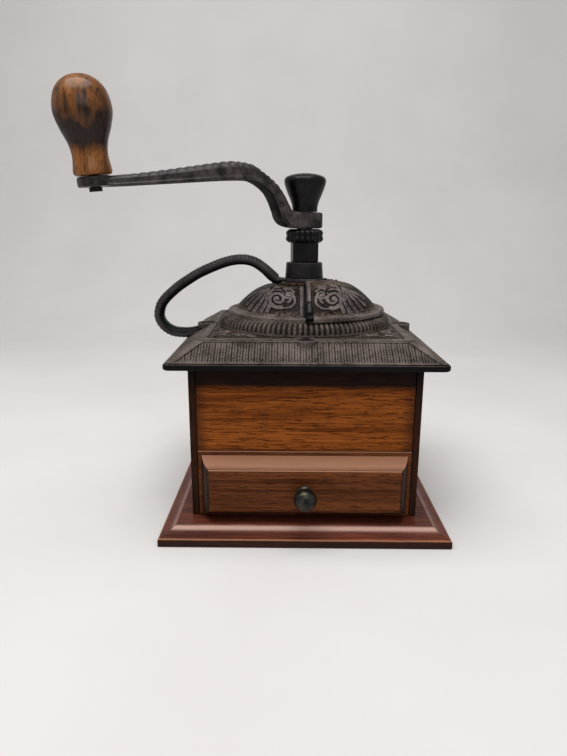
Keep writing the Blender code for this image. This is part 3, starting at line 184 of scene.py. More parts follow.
def softened(line, cut, steps=3):
    """Swap each inner corner of a line for a quadratic curve that starts and ends `cut` away from it."""
    line = np.asarray(line, float)
    out = [line[:1]]
    t = np.linspace(0.0, 1.0, steps + 1)[:, None]
    for before, corner, after in zip(line[:-2], line[1:-1], line[2:]):
        back, ahead = before - corner, after - corner
        reach_back = min(cut, 0.48 * np.linalg.norm(back))
        reach_ahead = min(cut, 0.48 * np.linalg.norm(ahead))
        start = corner + back / (np.linalg.norm(back) + 1e-12) * reach_back
        end = corner + ahead / (np.linalg.norm(ahead) + 1e-12) * reach_ahead
        out.append((1 - t) ** 2 * start + 2 * t * (1 - t) * corner + t ** 2 * end)
    out.append(line[-1:])
    return np.concatenate(out)


def flowing(points, per_span):
    """A Catmull-Rom curve: a cubic through every point, with slopes set by the neighbours."""
    p = np.asarray(points, float)
    p = np.concatenate([p[:1], p, p[-1:]])
    t = (np.arange(per_span) / per_span)[None, :, None]
    a, b, c, d = (p[i:len(p) - 3 + i, None, :] for i in range(4))
    cubic = 3 * b - a - 3 * c + d
    curve = 0.5 * (2 * b + (c - a) * t + (2 * a - 5 * b + 4 * c - d) * t ** 2 + cubic * t ** 3)
    return np.concatenate([curve.reshape(-1, p.shape[1]), p[-1:]])


def along(line):
    """Length along a line at each of its points."""
    return np.concatenate([[0.0], np.cumsum(np.linalg.norm(np.diff(line, axis=0), axis=1))])


def resampled(line, count):
    """The same line with its points at equal distances."""
    travel = along(line)
    even = np.linspace(0.0, travel[-1], count)
    return np.stack([np.interp(even, travel, line[:, axis]) for axis in range(line.shape[1])], -1)


def lathe_points(profile, steps):
    """Point = (r cos a, r sin a, z) for each profile point (r, z) and each of the angles a."""
    angle = full_turn * np.arange(steps) / steps
    radius, height = profile[:, :1], profile[:, 1:2]
    return np.stack([radius * np.cos(angle), radius * np.sin(angle), height + 0.0 * angle], -1)


def placed(points, place):
    """Carry points by a 4 by 4 matrix."""
    return points @ np.array(place.to_3x3()).T + np.array(place.translation)


def turned_piece(name, profile, steps, finish, crease=40.0, ring=False, place=None, **marks):
    """A piece off the lathe. A ring's profile meets itself, and any other starts and ends on the axis."""
    points = lathe_points(profile, steps)
    if place is not None:
        points = placed(points, place)
    return make_piece(name, points, grid_faces(len(profile), steps, ring, True), finish, crease, **marks)


def smooth_step(x, low, high):
    """0 below low, 1 above high, and 3t^2 - 2t^3 between."""
    t = np.clip((x - low) / (high - low), 0.0, 1.0)
    return t * t * (3.0 - 2.0 * t)


def ridge(x):
    """A round-topped rib that repeats once per unit of x: |cos(pi x)| softened, from 0 to 1."""
    return np.abs(np.cos(np.pi * x)) ** 0.8


def turned_about_z(points, angle):
    """Turn points about the mill's axis."""
    c, s = math.cos(angle), math.sin(angle)
    return np.stack([points[..., 0] * c - points[..., 1] * s, points[..., 0] * s + points[..., 1] * c,
                     points[..., 2]], -1)


print("a corner softened in 3 steps:", np.round(softened([(0, 0), (1, 0), (1, 1)], 0.2), 2).tolist())


# %% [markdown]
# ## Building a finish from nodes
# Each finish is a small tree of nodes that ends in a Principled shader. The same tree could be drawn by
# hand in the Shading workspace; in code, a finish that resembles another is one more line. Textures read
# Object coordinates, which are metres here, so a scale of 1000 repeats once in a millimetre. Numbers that
# are the same all over go straight on the shader.

# %% Node helpers


def paint(red, green, blue):
    """A colour given in the 0 to 255 numbers of a paint program, as the linear light that Blender uses."""
    values = np.array([red, green, blue]) / 255.0
    linear = np.where(values <= 0.04045, values / 12.92, ((values + 0.055) / 1.055) ** 2.4)
    return (*linear.tolist(), 1.0)


class Recipe:
    """A material and short calls that add nodes to it."""

    def __init__(self, name, roughness=0.5, metallic=0.0, coat=0.0, coat_roughness=0.1, specular=0.5):
        self.finish = bpy.data.materials.new(name)
        self.finish.use_nodes = True
        self.tree = self.finish.node_tree
        self.shader = self.tree.nodes["Principled BSDF"]
        for socket, value in (("Roughness", roughness), ("Metallic", metallic), ("Coat Weight", coat),
                              ("Coat Roughness", coat_roughness), ("Specular IOR Level", specular)):
            self.shader.inputs[socket].default_value = value

    def add(self, kind, inputs=None, **settings):
        """A node, with its settings, and each input linked to a socket or set to a value."""
        made = self.tree.nodes.new("ShaderNode" + kind)
        for key, value in settings.items():
            setattr(made, key, value)
        for key, value in (inputs or {}).items():
            if isinstance(value, bpy.types.NodeSocket):
                self.tree.links.new(value, made.inputs[key])
            else:
                made.inputs[key].default_value = value
        return made

    def place(self, scale=(1.0, 1.0, 1.0), turn=(0.0, 0.0, 0.0), shift=(0.0, 0.0, 0.0)):
        """Object coordinates, stretched and turned."""
        coordinates = self.add("TexCoord").outputs["Object"]
        return self.add("Mapping", {"Vector": coordinates, "Scale": scale, "Rotation": turn,
                                    "Location": shift}).outputs["Vector"]

    def noise(self, where, scale=1.0, detail=4.0, rough=0.55, warp=0.0):
        """Cloudy noise from 0 to 1."""
        return self.add("TexNoise", {"Vector": where, "Scale": scale, "Detail": detail, "Roughness": rough,
                                     "Distortion": warp}).outputs["Fac"]

    def spread(self, value, low, high, to_low=0.0, to_high=1.0):
        """Stretch a value so that low becomes to_low and high becomes to_high, and stop there."""
        return self.add("MapRange", {"Value": value, "From Min": low, "From Max": high, "To Min": to_low,
                                     "To Max": to_high}).outputs["Result"]

    def maths(self, kind, first, second=0.0):
        """One sum of two values."""
        return self.add("Math", {0: first, 1: second}, operation=kind).outputs[0]

    def mark(self, name):
        """A number that the mesh carries at each point."""
        return self.add("Attribute", attribute_name=name).outputs["Fac"]

    def facing(self, letter):
        """How far the surface faces along one axis, from -1 to 1."""
        return self.add("SeparateXYZ", {"Vector": self.add("NewGeometry").outputs["Normal"]}).outputs[letter]

    def axis(self, letter):
        """One of the three object coordinates, in metres."""
        return self.add("SeparateXYZ", {"Vector": self.add("TexCoord").outputs["Object"]}).outputs[letter]

    def blend(self, factor, first, second, mode="MIX"):
        """The first colour where the factor is 0 and the second where it is 1."""
        made = self.add("Mix", data_type="RGBA", blend_type=mode, clamp_factor=True)
        for key, value in ((0, factor), (6, first), (7, second)):
            if isinstance(value, bpy.types.NodeSocket):
                self.tree.links.new(value, made.inputs[key])
            else:
                made.inputs[key].default_value = value
        return made.outputs[2]

    def bump(self, height, distance, strength=1.0):
        """Tilt the shading as if the surface rose by distance where height is 1."""
        made = self.add("Bump", {"Height": height, "Distance": distance, "Strength": strength})
        self.tree.links.new(made.outputs["Normal"], self.shader.inputs["Normal"])
        return made

    def colour(self, value):
        """Link a value to the shader's colour."""
        self.tree.links.new(value, self.shader.inputs["Base Color"])

    def roughness(self, value):
        """Link a value to the shader's roughness."""
        self.tree.links.new(value, self.shader.inputs["Roughness"])


print("white paint is", paint(255, 255, 255), "and middle grey",
      np.round(paint(118, 118, 118)[:3], 3).tolist())


# %% [markdown]
# ## Old cast iron
# The roof and dome were blackened once. Handling has worn the high spots to a warm grey, a sand-cast
# grain covers everything, and pale coffee dust lies in the hollows. A finish could look for high spots by
# itself, but what it finds changes with how fine the mesh is. So the meshes carry three marks instead:
# one for hollows, 1 at the bottom of a groove and 0 on a ridge, which is also set as painted shade on the
# undersides of the crank and the handle; one for how much dust has settled; and one for painted shade,
# near-black under the eaves, in the screw cups and where the dome's two halves meet.

# %% Cast iron


def cast_iron(name, worn, deep, dust, dust_amount, shine, specular):
    """Worn and deep iron mixed by two noises, dust and near-black painted shade where the mesh is marked, and
    a sandy grain.
    """
    r = Recipe(name, roughness=0.5, metallic=0.0, specular=specular)
    where = r.place()
    cloud = r.noise(where, 90.0, 5.0, 0.6)
    speck = r.noise(where, 1100.0, 3.0, 0.7)
    tone = r.maths("ADD", r.maths("MULTIPLY", cloud, 0.5), r.maths("MULTIPLY", speck, 0.5))
    # Grooves are darker by the hollow mark; on undersides that same mark is painted shade.
    hollow = r.mark("hollow")
    level = r.maths("SUBTRACT", tone, r.maths("MULTIPLY", hollow, 0.42))
    iron = r.blend(r.spread(level, 0.34, 0.60), deep, worn)
    patch = r.spread(r.noise(where, 620.0, 5.0, 0.7, 0.3), 0.40, 0.66)
    dusty = r.maths("MULTIPLY", r.maths("MULTIPLY", patch, r.mark("dusty")), dust_amount)
    iron = r.blend(dusty, iron, dust)
    # Painted shade: near-black wherever the mesh is marked for it.
    r.colour(r.blend(r.mark("soot"), iron, paint(13, 11, 12)))
    r.roughness(r.spread(tone, 0.3, 0.7, shine + 0.14, shine - 0.05))
    r.bump(r.maths("ADD", r.noise(where, 1500.0, 3.0, 0.6), r.maths("MULTIPLY", cloud, 0.8)), 0.08 * mm, 0.8)
    return r.finish


roof_iron = cast_iron("roof_iron", worn=paint(108, 97, 92), deep=paint(18, 15, 14),
                      dust=paint(140, 122, 98), dust_amount=0.45, shine=0.42, specular=0.08)
dome_iron = cast_iron("dome_iron", worn=paint(126, 114, 110), deep=paint(14, 11, 10),
                      dust=paint(150, 128, 106), dust_amount=0.5, shine=0.42, specular=0.05)
handle_iron = cast_iron("handle_iron", worn=paint(78, 71, 72), deep=paint(14, 13, 14),
                        dust=paint(110, 98, 84), dust_amount=0.2, shine=0.34, specular=0.15)
print("cast iron finishes made")

# %% [markdown]
# ## Black japanned iron
# The crank, nuts and collar kept more of their glossy black. Plain gloss would look like plastic, so the
# gloss is a thin coat over a dark base that wanders between two tones, with fine scratches in it.

# %% Black iron


def black_iron(name, dark, light, shine, coat, grain, specular, marked=False):
    """Two close darks mixed by noise under a coat, with a faint orange-peel bump, and, where marked, darker
    hollows and painted shade.
    """
    r = Recipe(name, roughness=shine, metallic=0.0, coat=coat, coat_roughness=0.14, specular=specular)
    where = r.place()
    cloud = r.noise(where, 160.0, 5.0, 0.62)
    fine = r.noise(where, 1300.0, 3.0, 0.6)
    body = r.blend(r.spread(cloud, 0.38, 0.66), dark, light)
    if marked:
        # Near-black in marked hollows, and as painted shade inside the crank's underside channel.
        body = r.blend(r.maths("MULTIPLY", r.mark("hollow"), 0.85), body, paint(14, 12, 13))
    r.colour(body)
    r.roughness(r.spread(fine, 0.35, 0.7, shine - 0.06, shine + 0.12))
    r.bump(r.maths("ADD", r.maths("MULTIPLY", fine, 0.5), cloud), 0.05 * mm, grain)
    return r.finish


crank_iron = black_iron("crank_iron", paint(26, 23, 23), paint(76, 68, 66), shine=0.32, coat=0.1, grain=0.8,
                        specular=0.14, marked=True)
gloss_black = black_iron("gloss_black", paint(8, 8, 9), paint(20, 18, 19), shine=0.3, coat=0.12, grain=0.4,
                         specular=0.1)
collar_black = black_iron("collar_black", paint(18, 17, 19), paint(34, 31, 33), shine=0.42, coat=0.05,
                          grain=0.5, specular=0.15)
print("black iron finishes made")

# %% [markdown]
# ## Wood
# Oak shows three things at once: broad bands of light and dark, fine fibres, and short dark pores, all
# drawn out along the grain. A picture of a board would have to be unwrapped on to every moulding. Noise in
# the object's own coordinates needs no unwrapping, so each of the three is the same noise, stretched by a
# different amount along the board. Each board then gets darker bands and worn edges by place, the base a
# painted highlight below its top, and the drawer's mouldings painted highlight where they look up and
# painted shade where they look sideways or down.

# %% Wood


def wood(name, pale, deep, pore, along_axis="X", gloss=0.45, tone_and_painted_light=None, pores=0.75, specular=0.06, coat=0.0):
    """Bands, streaks and thin pores, each a noise stretched along the grain, then the board's own tone and
    painted light.
    """
    r = Recipe(name, roughness=gloss, coat=coat, coat_roughness=0.2, specular=specular)
    index = "XYZ".index(along_axis)

    def stretched(across, lengthwise, shift=0.0):
        scale = [across] * 3
        scale[index] = lengthwise
        return r.place(tuple(scale), shift=(shift, shift, shift))

    bands = r.noise(stretched(150.0, 9.0), 1.0, 3.0, 0.5, 0.4)
    streaks = r.noise(stretched(900.0, 26.0, 3.0), 1.0, 4.0, 0.6, 0.25)
    pits = r.noise(stretched(1700.0, 130.0, 7.0), 1.0, 2.0, 0.6)
    tone = r.maths("ADD", r.maths("MULTIPLY", bands, 0.4), r.maths("MULTIPLY", streaks, 0.6))
    body = r.blend(r.spread(tone, 0.40, 0.58), deep, pale)
    pit = r.spread(pits, 0.52, 0.62)
    body = r.blend(r.maths("MULTIPLY", pit, pores), body, pore)
    if tone_and_painted_light is not None:
        body = tone_and_painted_light(r, body)
    r.colour(body)
    r.roughness(r.spread(pits, 0.4, 0.7, gloss - 0.04, gloss + 0.2))
    r.bump(r.maths("SUBTRACT", r.maths("MULTIPLY", streaks, 0.35), pit), 0.05 * mm, 0.6)
    return r.finish


front_panel_high = node_box("front_panel")[1]
under_eave_black = paint(11, 8, 8)


def front_panel_darkening(r, body):
    """A near-black band under the eaves, with a soft uneven lower edge, and darker ends."""
    height = r.axis("Z")
    edge = r.maths("MULTIPLY", r.noise(r.place((60.0, 60.0, 300.0)), 1.0, 3.0), 2.0 * mm)
    level = r.maths("ADD", height, edge)
    band = r.spread(level, front_panel_high[2] - 13.0 * mm, front_panel_high[2] - 9.6 * mm)
    side = r.maths("ABSOLUTE", r.axis("X"))
    ends = r.spread(side, front_panel_high[0] - 7.0 * mm, front_panel_high[0] - 0.5 * mm, 0.0, 0.7)
    body = r.blend(ends, body, paint(50, 27, 16))
    return r.blend(r.maths("MULTIPLY", band, 0.96), body, under_eave_black)


panel_oak = wood("panel_oak", paint(160, 88, 34), paint(108, 54, 16), paint(56, 26, 8), gloss=0.5,
                 tone_and_painted_light=front_panel_darkening)


def side_panel_darkening(r, body):
    """The side panels are darker towards their front edge, and near-black at the top under the eaves."""
    front = r.spread(r.axis("Y"), -60.0 * mm, -50.0 * mm, 0.85, 0.4)
    under = r.spread(r.axis("Z"), 80.0 * mm, 92.0 * mm)
    body = r.blend(front, body, paint(26, 17, 13))
    return r.blend(r.maths("MULTIPLY", under, 0.9), body, under_eave_black)


side_oak = wood("side_oak", paint(124, 70, 34), paint(74, 38, 16), paint(34, 17, 8), along_axis="Z",
                gloss=0.5, tone_and_painted_light=side_panel_darkening)


def drawer_painted_light(r, body):
    """Painted highlight where the moulding faces up, painted shade where it faces sideways or down."""
    up = r.spread(r.facing("Z"), 0.45, 0.85, 0.0, 0.62)
    side = r.spread(r.maths("ABSOLUTE", r.facing("X")), 0.3, 0.7, 0.0, 0.85)
    down = r.spread(r.facing("Z"), -0.6, -0.2, 0.9, 0.0)
    body = r.blend(up, body, paint(206, 152, 122))
    body = r.blend(side, body, paint(20, 11, 9))
    return r.blend(down, body, paint(14, 8, 8))


drawer_oak = wood("drawer_oak", paint(112, 62, 30), paint(72, 36, 15), paint(36, 17, 8), gloss=0.36,
                  tone_and_painted_light=drawer_painted_light, pores=0.6, specular=0.08)
bare_wood = wood("bare_wood", paint(196, 158, 112), paint(160, 120, 78), paint(110, 76, 44), along_axis="Y",
                 gloss=0.65)


def base_wear_and_painted_highlight(r, body):
    """A near-black upright edge, its arris rubbed to bare wood, and a pale painted highlight below the top.
    """
    height = r.axis("Z")
    wander = r.maths("MULTIPLY", r.noise(r.place((40.0, 40.0, 400.0)), 1.0, 3.0), 0.5 * mm)
    level = r.maths("ADD", height, wander)
    edge = r.spread(level, 4.45 * mm, 4.75 * mm, 1.0, 0.0)
    body = r.blend(r.maths("MULTIPLY", edge, 0.85), body, paint(30, 18, 12))
    rub = r.maths("MULTIPLY", r.spread(level, 4.5 * mm, 4.8 * mm),
                  r.spread(level, 5.0 * mm, 5.4 * mm, 1.0, 0.0))
    body = r.blend(r.maths("MULTIPLY", rub, 0.7), body, paint(176, 118, 84))
    # Painted highlight: a pale band just below the top, strongest on faces that look forward.
    top = base_high[2]
    shine = r.maths("MULTIPLY", r.spread(height, top - 2.6 * mm, top - 1.7 * mm),
                    r.spread(height, top - 0.9 * mm, top - 0.3 * mm, 1.0, 0.0))
    shine = r.maths("MULTIPLY", shine, r.spread(r.facing("Y"), -0.15, -0.05, 0.85, 0.25))
    return r.blend(shine, body, paint(206, 166, 150))


base_mahogany = wood("base_mahogany", paint(116, 60, 44), paint(74, 36, 26), paint(38, 16, 10), gloss=0.34,
                     tone_and_painted_light=base_wear_and_painted_highlight, pores=0.5, specular=0.1, coat=0.04)
print("wood finishes made")

# %% [markdown]
# ## Turned grip wood
# The grip was cut from a blank with dark heartwood, so golden patches and near-black streaks run along
# it, under a thick lacquer. The streaks follow the grip's own axis, which leans a little.

# %% Grip wood
grip_lean = math.radians(5.5)
crank_angle = math.radians(28.0)


def grip_finish():
    """Noise stretched along the grip's axis, pushed through ramps; a dark band crosses the middle."""
    r = Recipe("grip_wood", roughness=0.36, coat=0.3, coat_roughness=0.2, specular=0.1)
    patch = r.noise(r.place((120.0, 120.0, 42.0), (0.0, -grip_lean, 0.0)), 1.0, 4.0, 0.55, 0.8)
    streak = r.noise(r.place((300.0, 300.0, 16.0), (0.0, -grip_lean, 0.0)), 1.0, 3.0, 0.5, 0.4)
    speck = r.noise(r.place((1500.0, 1500.0, 420.0)), 1.0, 3.0, 0.7)
    height = r.maths("ADD", r.axis("Z"), r.maths("MULTIPLY", patch, 7.0 * mm))
    rise = r.spread(height, 207.0 * mm, 213.5 * mm)
    fall = r.spread(height, 219.0 * mm, 234.0 * mm, 1.0, 0.22)
    waist = r.maths("MULTIPLY", rise, fall)
    cloud = r.spread(patch, 0.34, 0.66, 0.50, -0.20)
    body = r.blend(r.maths("ADD", waist, cloud), paint(150, 94, 42), paint(24, 12, 8))
    body = r.blend(r.spread(streak, 0.48, 0.64, 0.0, 0.9), body, paint(28, 14, 9))
    body = r.blend(r.spread(speck, 0.44, 0.64, 0.0, 0.6), body, paint(58, 31, 16))
    r.colour(body)
    r.bump(speck, 0.02 * mm, 0.5)
    return r.finish


grip_wood = grip_finish()
print("grip wood made")

# %% [markdown]
# ## Small metals
# The drawer knob is brass gone brown-black. The screws below and inside are plain steel with a little
# rust, the shaft and its spring are brighter, and the burrs are hard grey iron. Only two colours and a
# roughness tell them apart, so one recipe serves them all.

# %% Small metals


def small_metal(name, bright, dull, metallic, shine):
    """A metal whose colour and roughness both wander between bright and dull."""
    r = Recipe(name, roughness=shine, metallic=metallic)
    where = r.place()
    cloud = r.noise(where, 260.0, 5.0, 0.65)
    r.colour(r.blend(r.spread(cloud, 0.36, 0.64), dull, bright))
    r.roughness(r.spread(cloud, 0.3, 0.7, shine + 0.2, shine - 0.05))
    r.bump(r.noise(where, 1600.0, 3.0), 0.02 * mm, 0.5)
    return r.finish


knob_brass = small_metal("knob_brass", paint(66, 62, 53), paint(20, 24, 24), 0.85, 0.26)
screw_steel = small_metal("screw_steel", paint(120, 116, 112), paint(60, 52, 46), 0.8, 0.4)
shaft_steel = small_metal("shaft_steel", paint(150, 148, 146), paint(90, 86, 82), 0.9, 0.35)
burr_iron = small_metal("burr_iron", paint(92, 90, 88), paint(50, 48, 46), 0.7, 0.45)
rough_iron = small_metal("rough_iron", paint(66, 62, 60), paint(34, 32, 31), 0.3, 0.6)
print("small metals made")

# %% [markdown]
# ## Dressing the solids that are right already
# Flat boards, screws and hidden iron keep their solids and only get a finish. The solids that a finer
# piece will stand for get the same finish as that piece, so that nothing is without one.

# %% Finishes on solids
solid_finishes = {
    "front_panel": panel_oak, "back_panel": panel_oak,
    "left_side_panel": side_oak, "right_side_panel": side_oak,
    "roof_casting": roof_iron, "hopper_bowl": rough_iron, "burr_bridge": rough_iron,
    "inner_burr": burr_iron, "outer_burr": burr_iron, "burr_nut": screw_steel,
    "spindle_shaft": shaft_steel, "spindle_spring": shaft_steel, "spring_washer": shaft_steel,
    "spring_pin": shaft_steel, "drawer_left_side": bare_wood, "drawer_right_side": bare_wood,
    "drawer_back": bare_wood, "drawer_floor": bare_wood, "drawer_knob_screw": screw_steel,
    "grip_stud": gloss_black, "lid_tab": gloss_black,
    "base_board": base_mahogany, "drawer_front": drawer_oak,
    "crank_arm": crank_iron, "carry_handle": handle_iron,
    "dome_casting": dome_iron, "hopper_lid": dome_iron, "drawer_knob": knob_brass, "top_knob": gloss_black,
    "bearing_collar": collar_black, "adjusting_nut": gloss_black, "crank_grip": grip_wood,
}
for name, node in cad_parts.items():
    finish = solid_finishes.get(name, screw_steel)
    node.data.materials.clear()
    node.data.materials.append(finish)
print("solids dressed:", len(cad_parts))

# %% [markdown]
# ## The dome's shape
# The hopper's dome is a flat crown that meets a rounder shoulder. Both are parts of spheres, and the
# lower of the two heights counts, blended a little where they cross. A sculpted dome would look as good,
# but the lid has to swing over the fixed half without touching it, and a formula can be moved inwards by
# an exact amount, the inset.

# %% Dome formula
ring_bottom = dome_low[2]
ring_foot = dome_high[0]
bead_radius = ring_foot - 5.9 * mm
ring_top = ring_bottom + 6.9 * mm
bead_top = ring_top + 2.5 * mm
hub_disc_top = bead_top + 14.3 * mm
hub_disc_radius = 14.2 * mm
lid_rim_top = bead_top + 0.8 * mm
crown_radius = 139.0 * mm
crown_middle = hub_disc_top + 4.1 * mm - crown_radius
shoulder_rise = 22.3 * mm
shoulder_radius = ((bead_radius - 1.2 * mm) ** 2 + shoulder_rise ** 2) / (2.0 * shoulder_rise)
shoulder_middle = lid_rim_top + shoulder_rise - shoulder_radius
crown_blend = 0.5 * mm


def dome_height(radius, inset=0.0):
    """The lower of crown and shoulder, min(a, b) softened to a - k log(1 + exp((a - b) / k))."""
    crown = crown_middle + np.sqrt((crown_radius - inset) ** 2 - radius ** 2)
    shoulder = shoulder_middle + np.sqrt(np.maximum((shoulder_radius - inset) ** 2 - radius ** 2, 0.0))
    low, high = np.minimum(crown, shoulder), np.maximum(crown, shoulder)
    return low - crown_blend * np.log1p(np.exp((low - high) / crown_blend))


def dome_radius_at(height, inset=0.0):
    """Radius of the shoulder's sphere at a height."""
    return math.sqrt((shoulder_radius - inset) ** 2 - (height - shoulder_middle) ** 2)


def dome_meridian(start_radius, end_radius, inset, count):
    """Points of radius and height down the dome at equal distances, with the outward normal of each."""
    radius = np.linspace(start_radius, end_radius, count * 4)
    line = resampled(np.stack([radius, dome_height(radius, inset)], -1), count)
    slope = np.gradient(line, axis=0)
    slope /= np.linalg.norm(slope, axis=1, keepdims=True)
    return line, np.stack([-slope[:, 1], slope[:, 0]], -1)


print("dome top", round(float(dome_height(np.array(16.0 * mm))) / mm, 2))

# %% [markdown]
# ## Scrolls and leaves as a height field
# Cast ornament is a relief: at each point of the skin, how far it stands proud. A stem is a curve drawn
# on the unrolled skin, and the relief near it is a rounded ridge whose width tapers along the stem. So the
# whole ornament is a list of curves, and the height at a point is the tallest ridge that reaches it.
# Separate bevelled curves would have to be bent on to the dome; as heights, stems melt into each other as
# cast ones do.

# %% Relief helpers


def nearest_on(x, y, line):
    """Distance from each point to a line of short pieces, and the share of its length where it is nearest."""
    travel = along(line)
    best = np.full(x.shape, 1e9)
    share = np.zeros(x.shape)
    for index in range(len(line) - 1):
        a, b = line[index], line[index + 1]
        step = b - a
        t = np.clip(((x - a[0]) * step[0] + (y - a[1]) * step[1]) / max(step @ step, 1e-18), 0.0, 1.0)
        gap = np.hypot(x - a[0] - t * step[0], y - a[1] - t * step[1])
        closer = gap < best
        best = np.where(closer, gap, best)
        place = (travel[index] + t * (travel[index + 1] - travel[index])) / travel[-1]
        share = np.where(closer, place, share)
    return best, share


def spiral(centre, start_radius, end_radius, start_angle, turns, count=40):
    """A scroll: the radius shrinks steadily while the angle turns."""
    t = np.linspace(0.0, 1.0, count)
    radius = start_radius + (end_radius - start_radius) * t ** 0.9
    angle = start_angle + full_turn * turns * t
    return np.stack([centre[0] + radius * np.cos(angle), centre[1] + radius * np.sin(angle)], -1)


def add_stem(relief, x, y, line, width_start, width_end, height, vein=0.0):
    """Raise relief to height * sqrt(1 - (d / w)^2) near a line, with w tapering, and cut a vein along it."""
    line = np.asarray(line, float)
    reach = max(width_start, width_end)
    near = ((x > line[:, 0].min() - reach) & (x < line[:, 0].max() + reach)
            & (y > line[:, 1].min() - reach) & (y < line[:, 1].max() + reach))
    if not near.any():
        return
    gap, share = nearest_on(x[near], y[near], line)
    width = width_start + (width_end - width_start) * share
    rise = height * np.sqrt(np.clip(1.0 - (gap / width) ** 2, 0.0, 1.0))
    if vein > 0.0:
        rise -= vein * np.clip(1.0 - gap / (0.3 * width), 0.0, 1.0) * (rise > 0.0)
    relief[near] = np.maximum(relief[near], rise)


def add_curl(relief, x, y, centre, radii, start_angle, turns, widths, height, vein=0.0):
    """A stem along a spiral. Lengths are in millimetres, and a pair is a first and a last value."""
    line = spiral(np.array(centre) * mm, radii[0] * mm, radii[1] * mm, start_angle, turns)
    add_stem(relief, x, y, line, widths[0] * mm, widths[1] * mm, height * mm, vein * mm)


def add_vine(relief, x, y, points, widths, height, vein=0.0, per_span=8):
    """A stem that flows through points in millimetres. With one step to a span it runs straight."""
    line = flowing(np.array(points) * mm, per_span)
    add_stem(relief, x, y, line, widths[0] * mm, widths[1] * mm, height * mm, vein * mm)


print("a point 3 mm off a line:", nearest_on(np.array([5.0]), np.array([3.0]), np.array([(0.0, 0.0),
                                                                                         (9.0, 0.0)])))

# %% [markdown]
# The dome's ornament is listed once, for a quarter: two large scrolls, small ones, curling stems, short
# veined lobes, round bosses at the scrolls' hearts, and a fan of leaves. x runs from the gap between the
# halves, and y up from the rim. The other quarters are its mirror images.

# %% Dome ornament
dome_curls = [
    ((16.2, 12.6), (6.6, 1.2), -1.9, 1.55, (1.7, 1.0), 0.75, 0.25),
    ((9.2, 16.4), (3.4, 0.8), -0.6, -1.4, (1.1, 0.8), 0.65),
    ((11.0, 24.0), (2.6, 0.6), 2.6, 1.3, (1.0, 0.7), 0.65),
    ((17.6, 25.6), (2.8, 0.6), 0.4, -1.3, (1.1, 0.7), 0.65),
    ((16.2, 12.6), (8.7, 7.9), -0.9, 0.42, (0.4, 0.9), 0.6)]
dome_vines = [
    ([(14.0, 5.9), (9.0, 6.6), (6.0, 10.0), (6.2, 15.0)], (0.7, 1.2), 0.6),
    ([(6.3, 19.5), (8.2, 22.0), (9.4, 26.6)], (1.1, 0.5), 0.6),
    ([(21.6, 17.0), (20.6, 22.0), (19.6, 24.2)], (1.2, 0.7), 0.65)]
dome_lobes = [
    (9.0, 11.2, 2.3, 1.9), (11.6, 21.0, 1.2, 1.9), (15.2, 20.6, 0.6, 1.8), (20.4, 20.2, 2.6, 2.0),
    (7.2, 24.6, 1.4, 1.7), (14.4, 27.6, 1.7, 1.8), (21.0, 28.4, 1.2, 1.9), (24.4, 26.0, 0.5, 1.8),
    (19.4, 7.4, -0.9, 1.7)]
dome_balls = [(9.2, 16.4), (11.0, 24.0), (17.6, 25.6), (4.9, 28.0), (12.8, 17.6), (23.2, 11.6)]
fan_root = (24.0, 21.5)
fan_leaves = [
    (22.5, 3.2, -1.2, 1.5), (27.0, 2.4, -0.9, 1.7), (32.0, 2.6, -0.4, 1.8), (37.0, 3.6, 0.4, 1.8),
    (41.0, 6.2, 1.0, 1.7), (43.5, 10.2, 1.6, 1.5)]


def quarter_ornament(x, y):
    """The tallest of all stems. A lobe is x, y, heading and width, and a leaf x, y, bend and width."""
    relief = np.zeros(x.shape)
    for curl in dome_curls:
        add_curl(relief, x, y, *curl)
    for vine in dome_vines:
        add_vine(relief, x, y, *vine)
    add_vine(relief, x, y, [(16.2, 12.6), (16.6, 12.9)], (1.3, 1.3), 0.8, per_span=1)
    for lobe_x, lobe_y, lobe_turn, lobe_size in dome_lobes:
        heading = np.array((math.cos(lobe_turn), math.sin(lobe_turn)))
        middle = np.array((lobe_x, lobe_y))
        add_vine(relief, x, y, np.stack([middle - heading * 1.3, middle + heading * 1.3]),
                 (0.45 * lobe_size, 0.75), 0.72, 0.4, per_span=1)
    for ball_x, ball_y in dome_balls:
        add_vine(relief, x, y, [(ball_x, ball_y), (ball_x + 0.1, ball_y)], (0.85, 0.85), 0.75, per_span=1)
    root = np.array(fan_root) * mm
    for tip_x, tip_y, bend, width in fan_leaves:
        tip = np.array((tip_x, tip_y)) * mm
        middle = (root + tip) / 2 + np.array((bend, -0.6)) * mm * 2.0
        add_stem(relief, x, y, flowing([root, middle, tip], 10), 0.6 * mm, width * mm, 0.75 * mm, 0.5 * mm)
    return relief


def dome_relief(angle_from_gap, meridian_radius, rise):
    """Ornament of a half dome, inside a plain border. Its quarters are mirrored about the half's middle."""
    border_height = 0.55 * mm
    folded = np.minimum(angle_from_gap, math.pi - angle_from_gap)
    x = folded * meridian_radius
    y = rise + 0.0 * folded
    border = smooth_step(x, 3.0 * mm, 3.5 * mm) * smooth_step(y, 1.0 * mm, 1.5 * mm)
    strip = border_height * (1.0 - smooth_step(x, 2.9 * mm, 3.4 * mm))
    foot = border_height * (1.0 - smooth_step(y, 1.2 * mm, 1.9 * mm))
    return np.maximum(np.maximum(strip, foot), quarter_ornament(x, y) * border)


print("leaves on the dome:", 4 * len(fan_leaves))


# %% [markdown]
# ## The two halves of the dome
# Each half is a thick shell. Its outer skin is the dome plus the relief along the normal, its inner skin
# is smooth, and the rows run on over the rim and back inside, so that one wrapped grid makes a closed
# body. The two ends, where the halves meet, are closed by folding the grid's last columns on to the
# skin's middle line.

# %% Half shells


def dust_shape(height):
    """Dust gathers along the rim and round the hub: 0.9 there and 0.15 between."""
    low = 1.0 - smooth_step(height, lid_rim_top + 0.6 * mm, lid_rim_top + 2.6 * mm)
    high = smooth_step(height, hub_disc_top - 1.5 * mm, hub_disc_top + 1.0 * mm)
    return 0.15 + 0.75 * np.maximum(low, high)


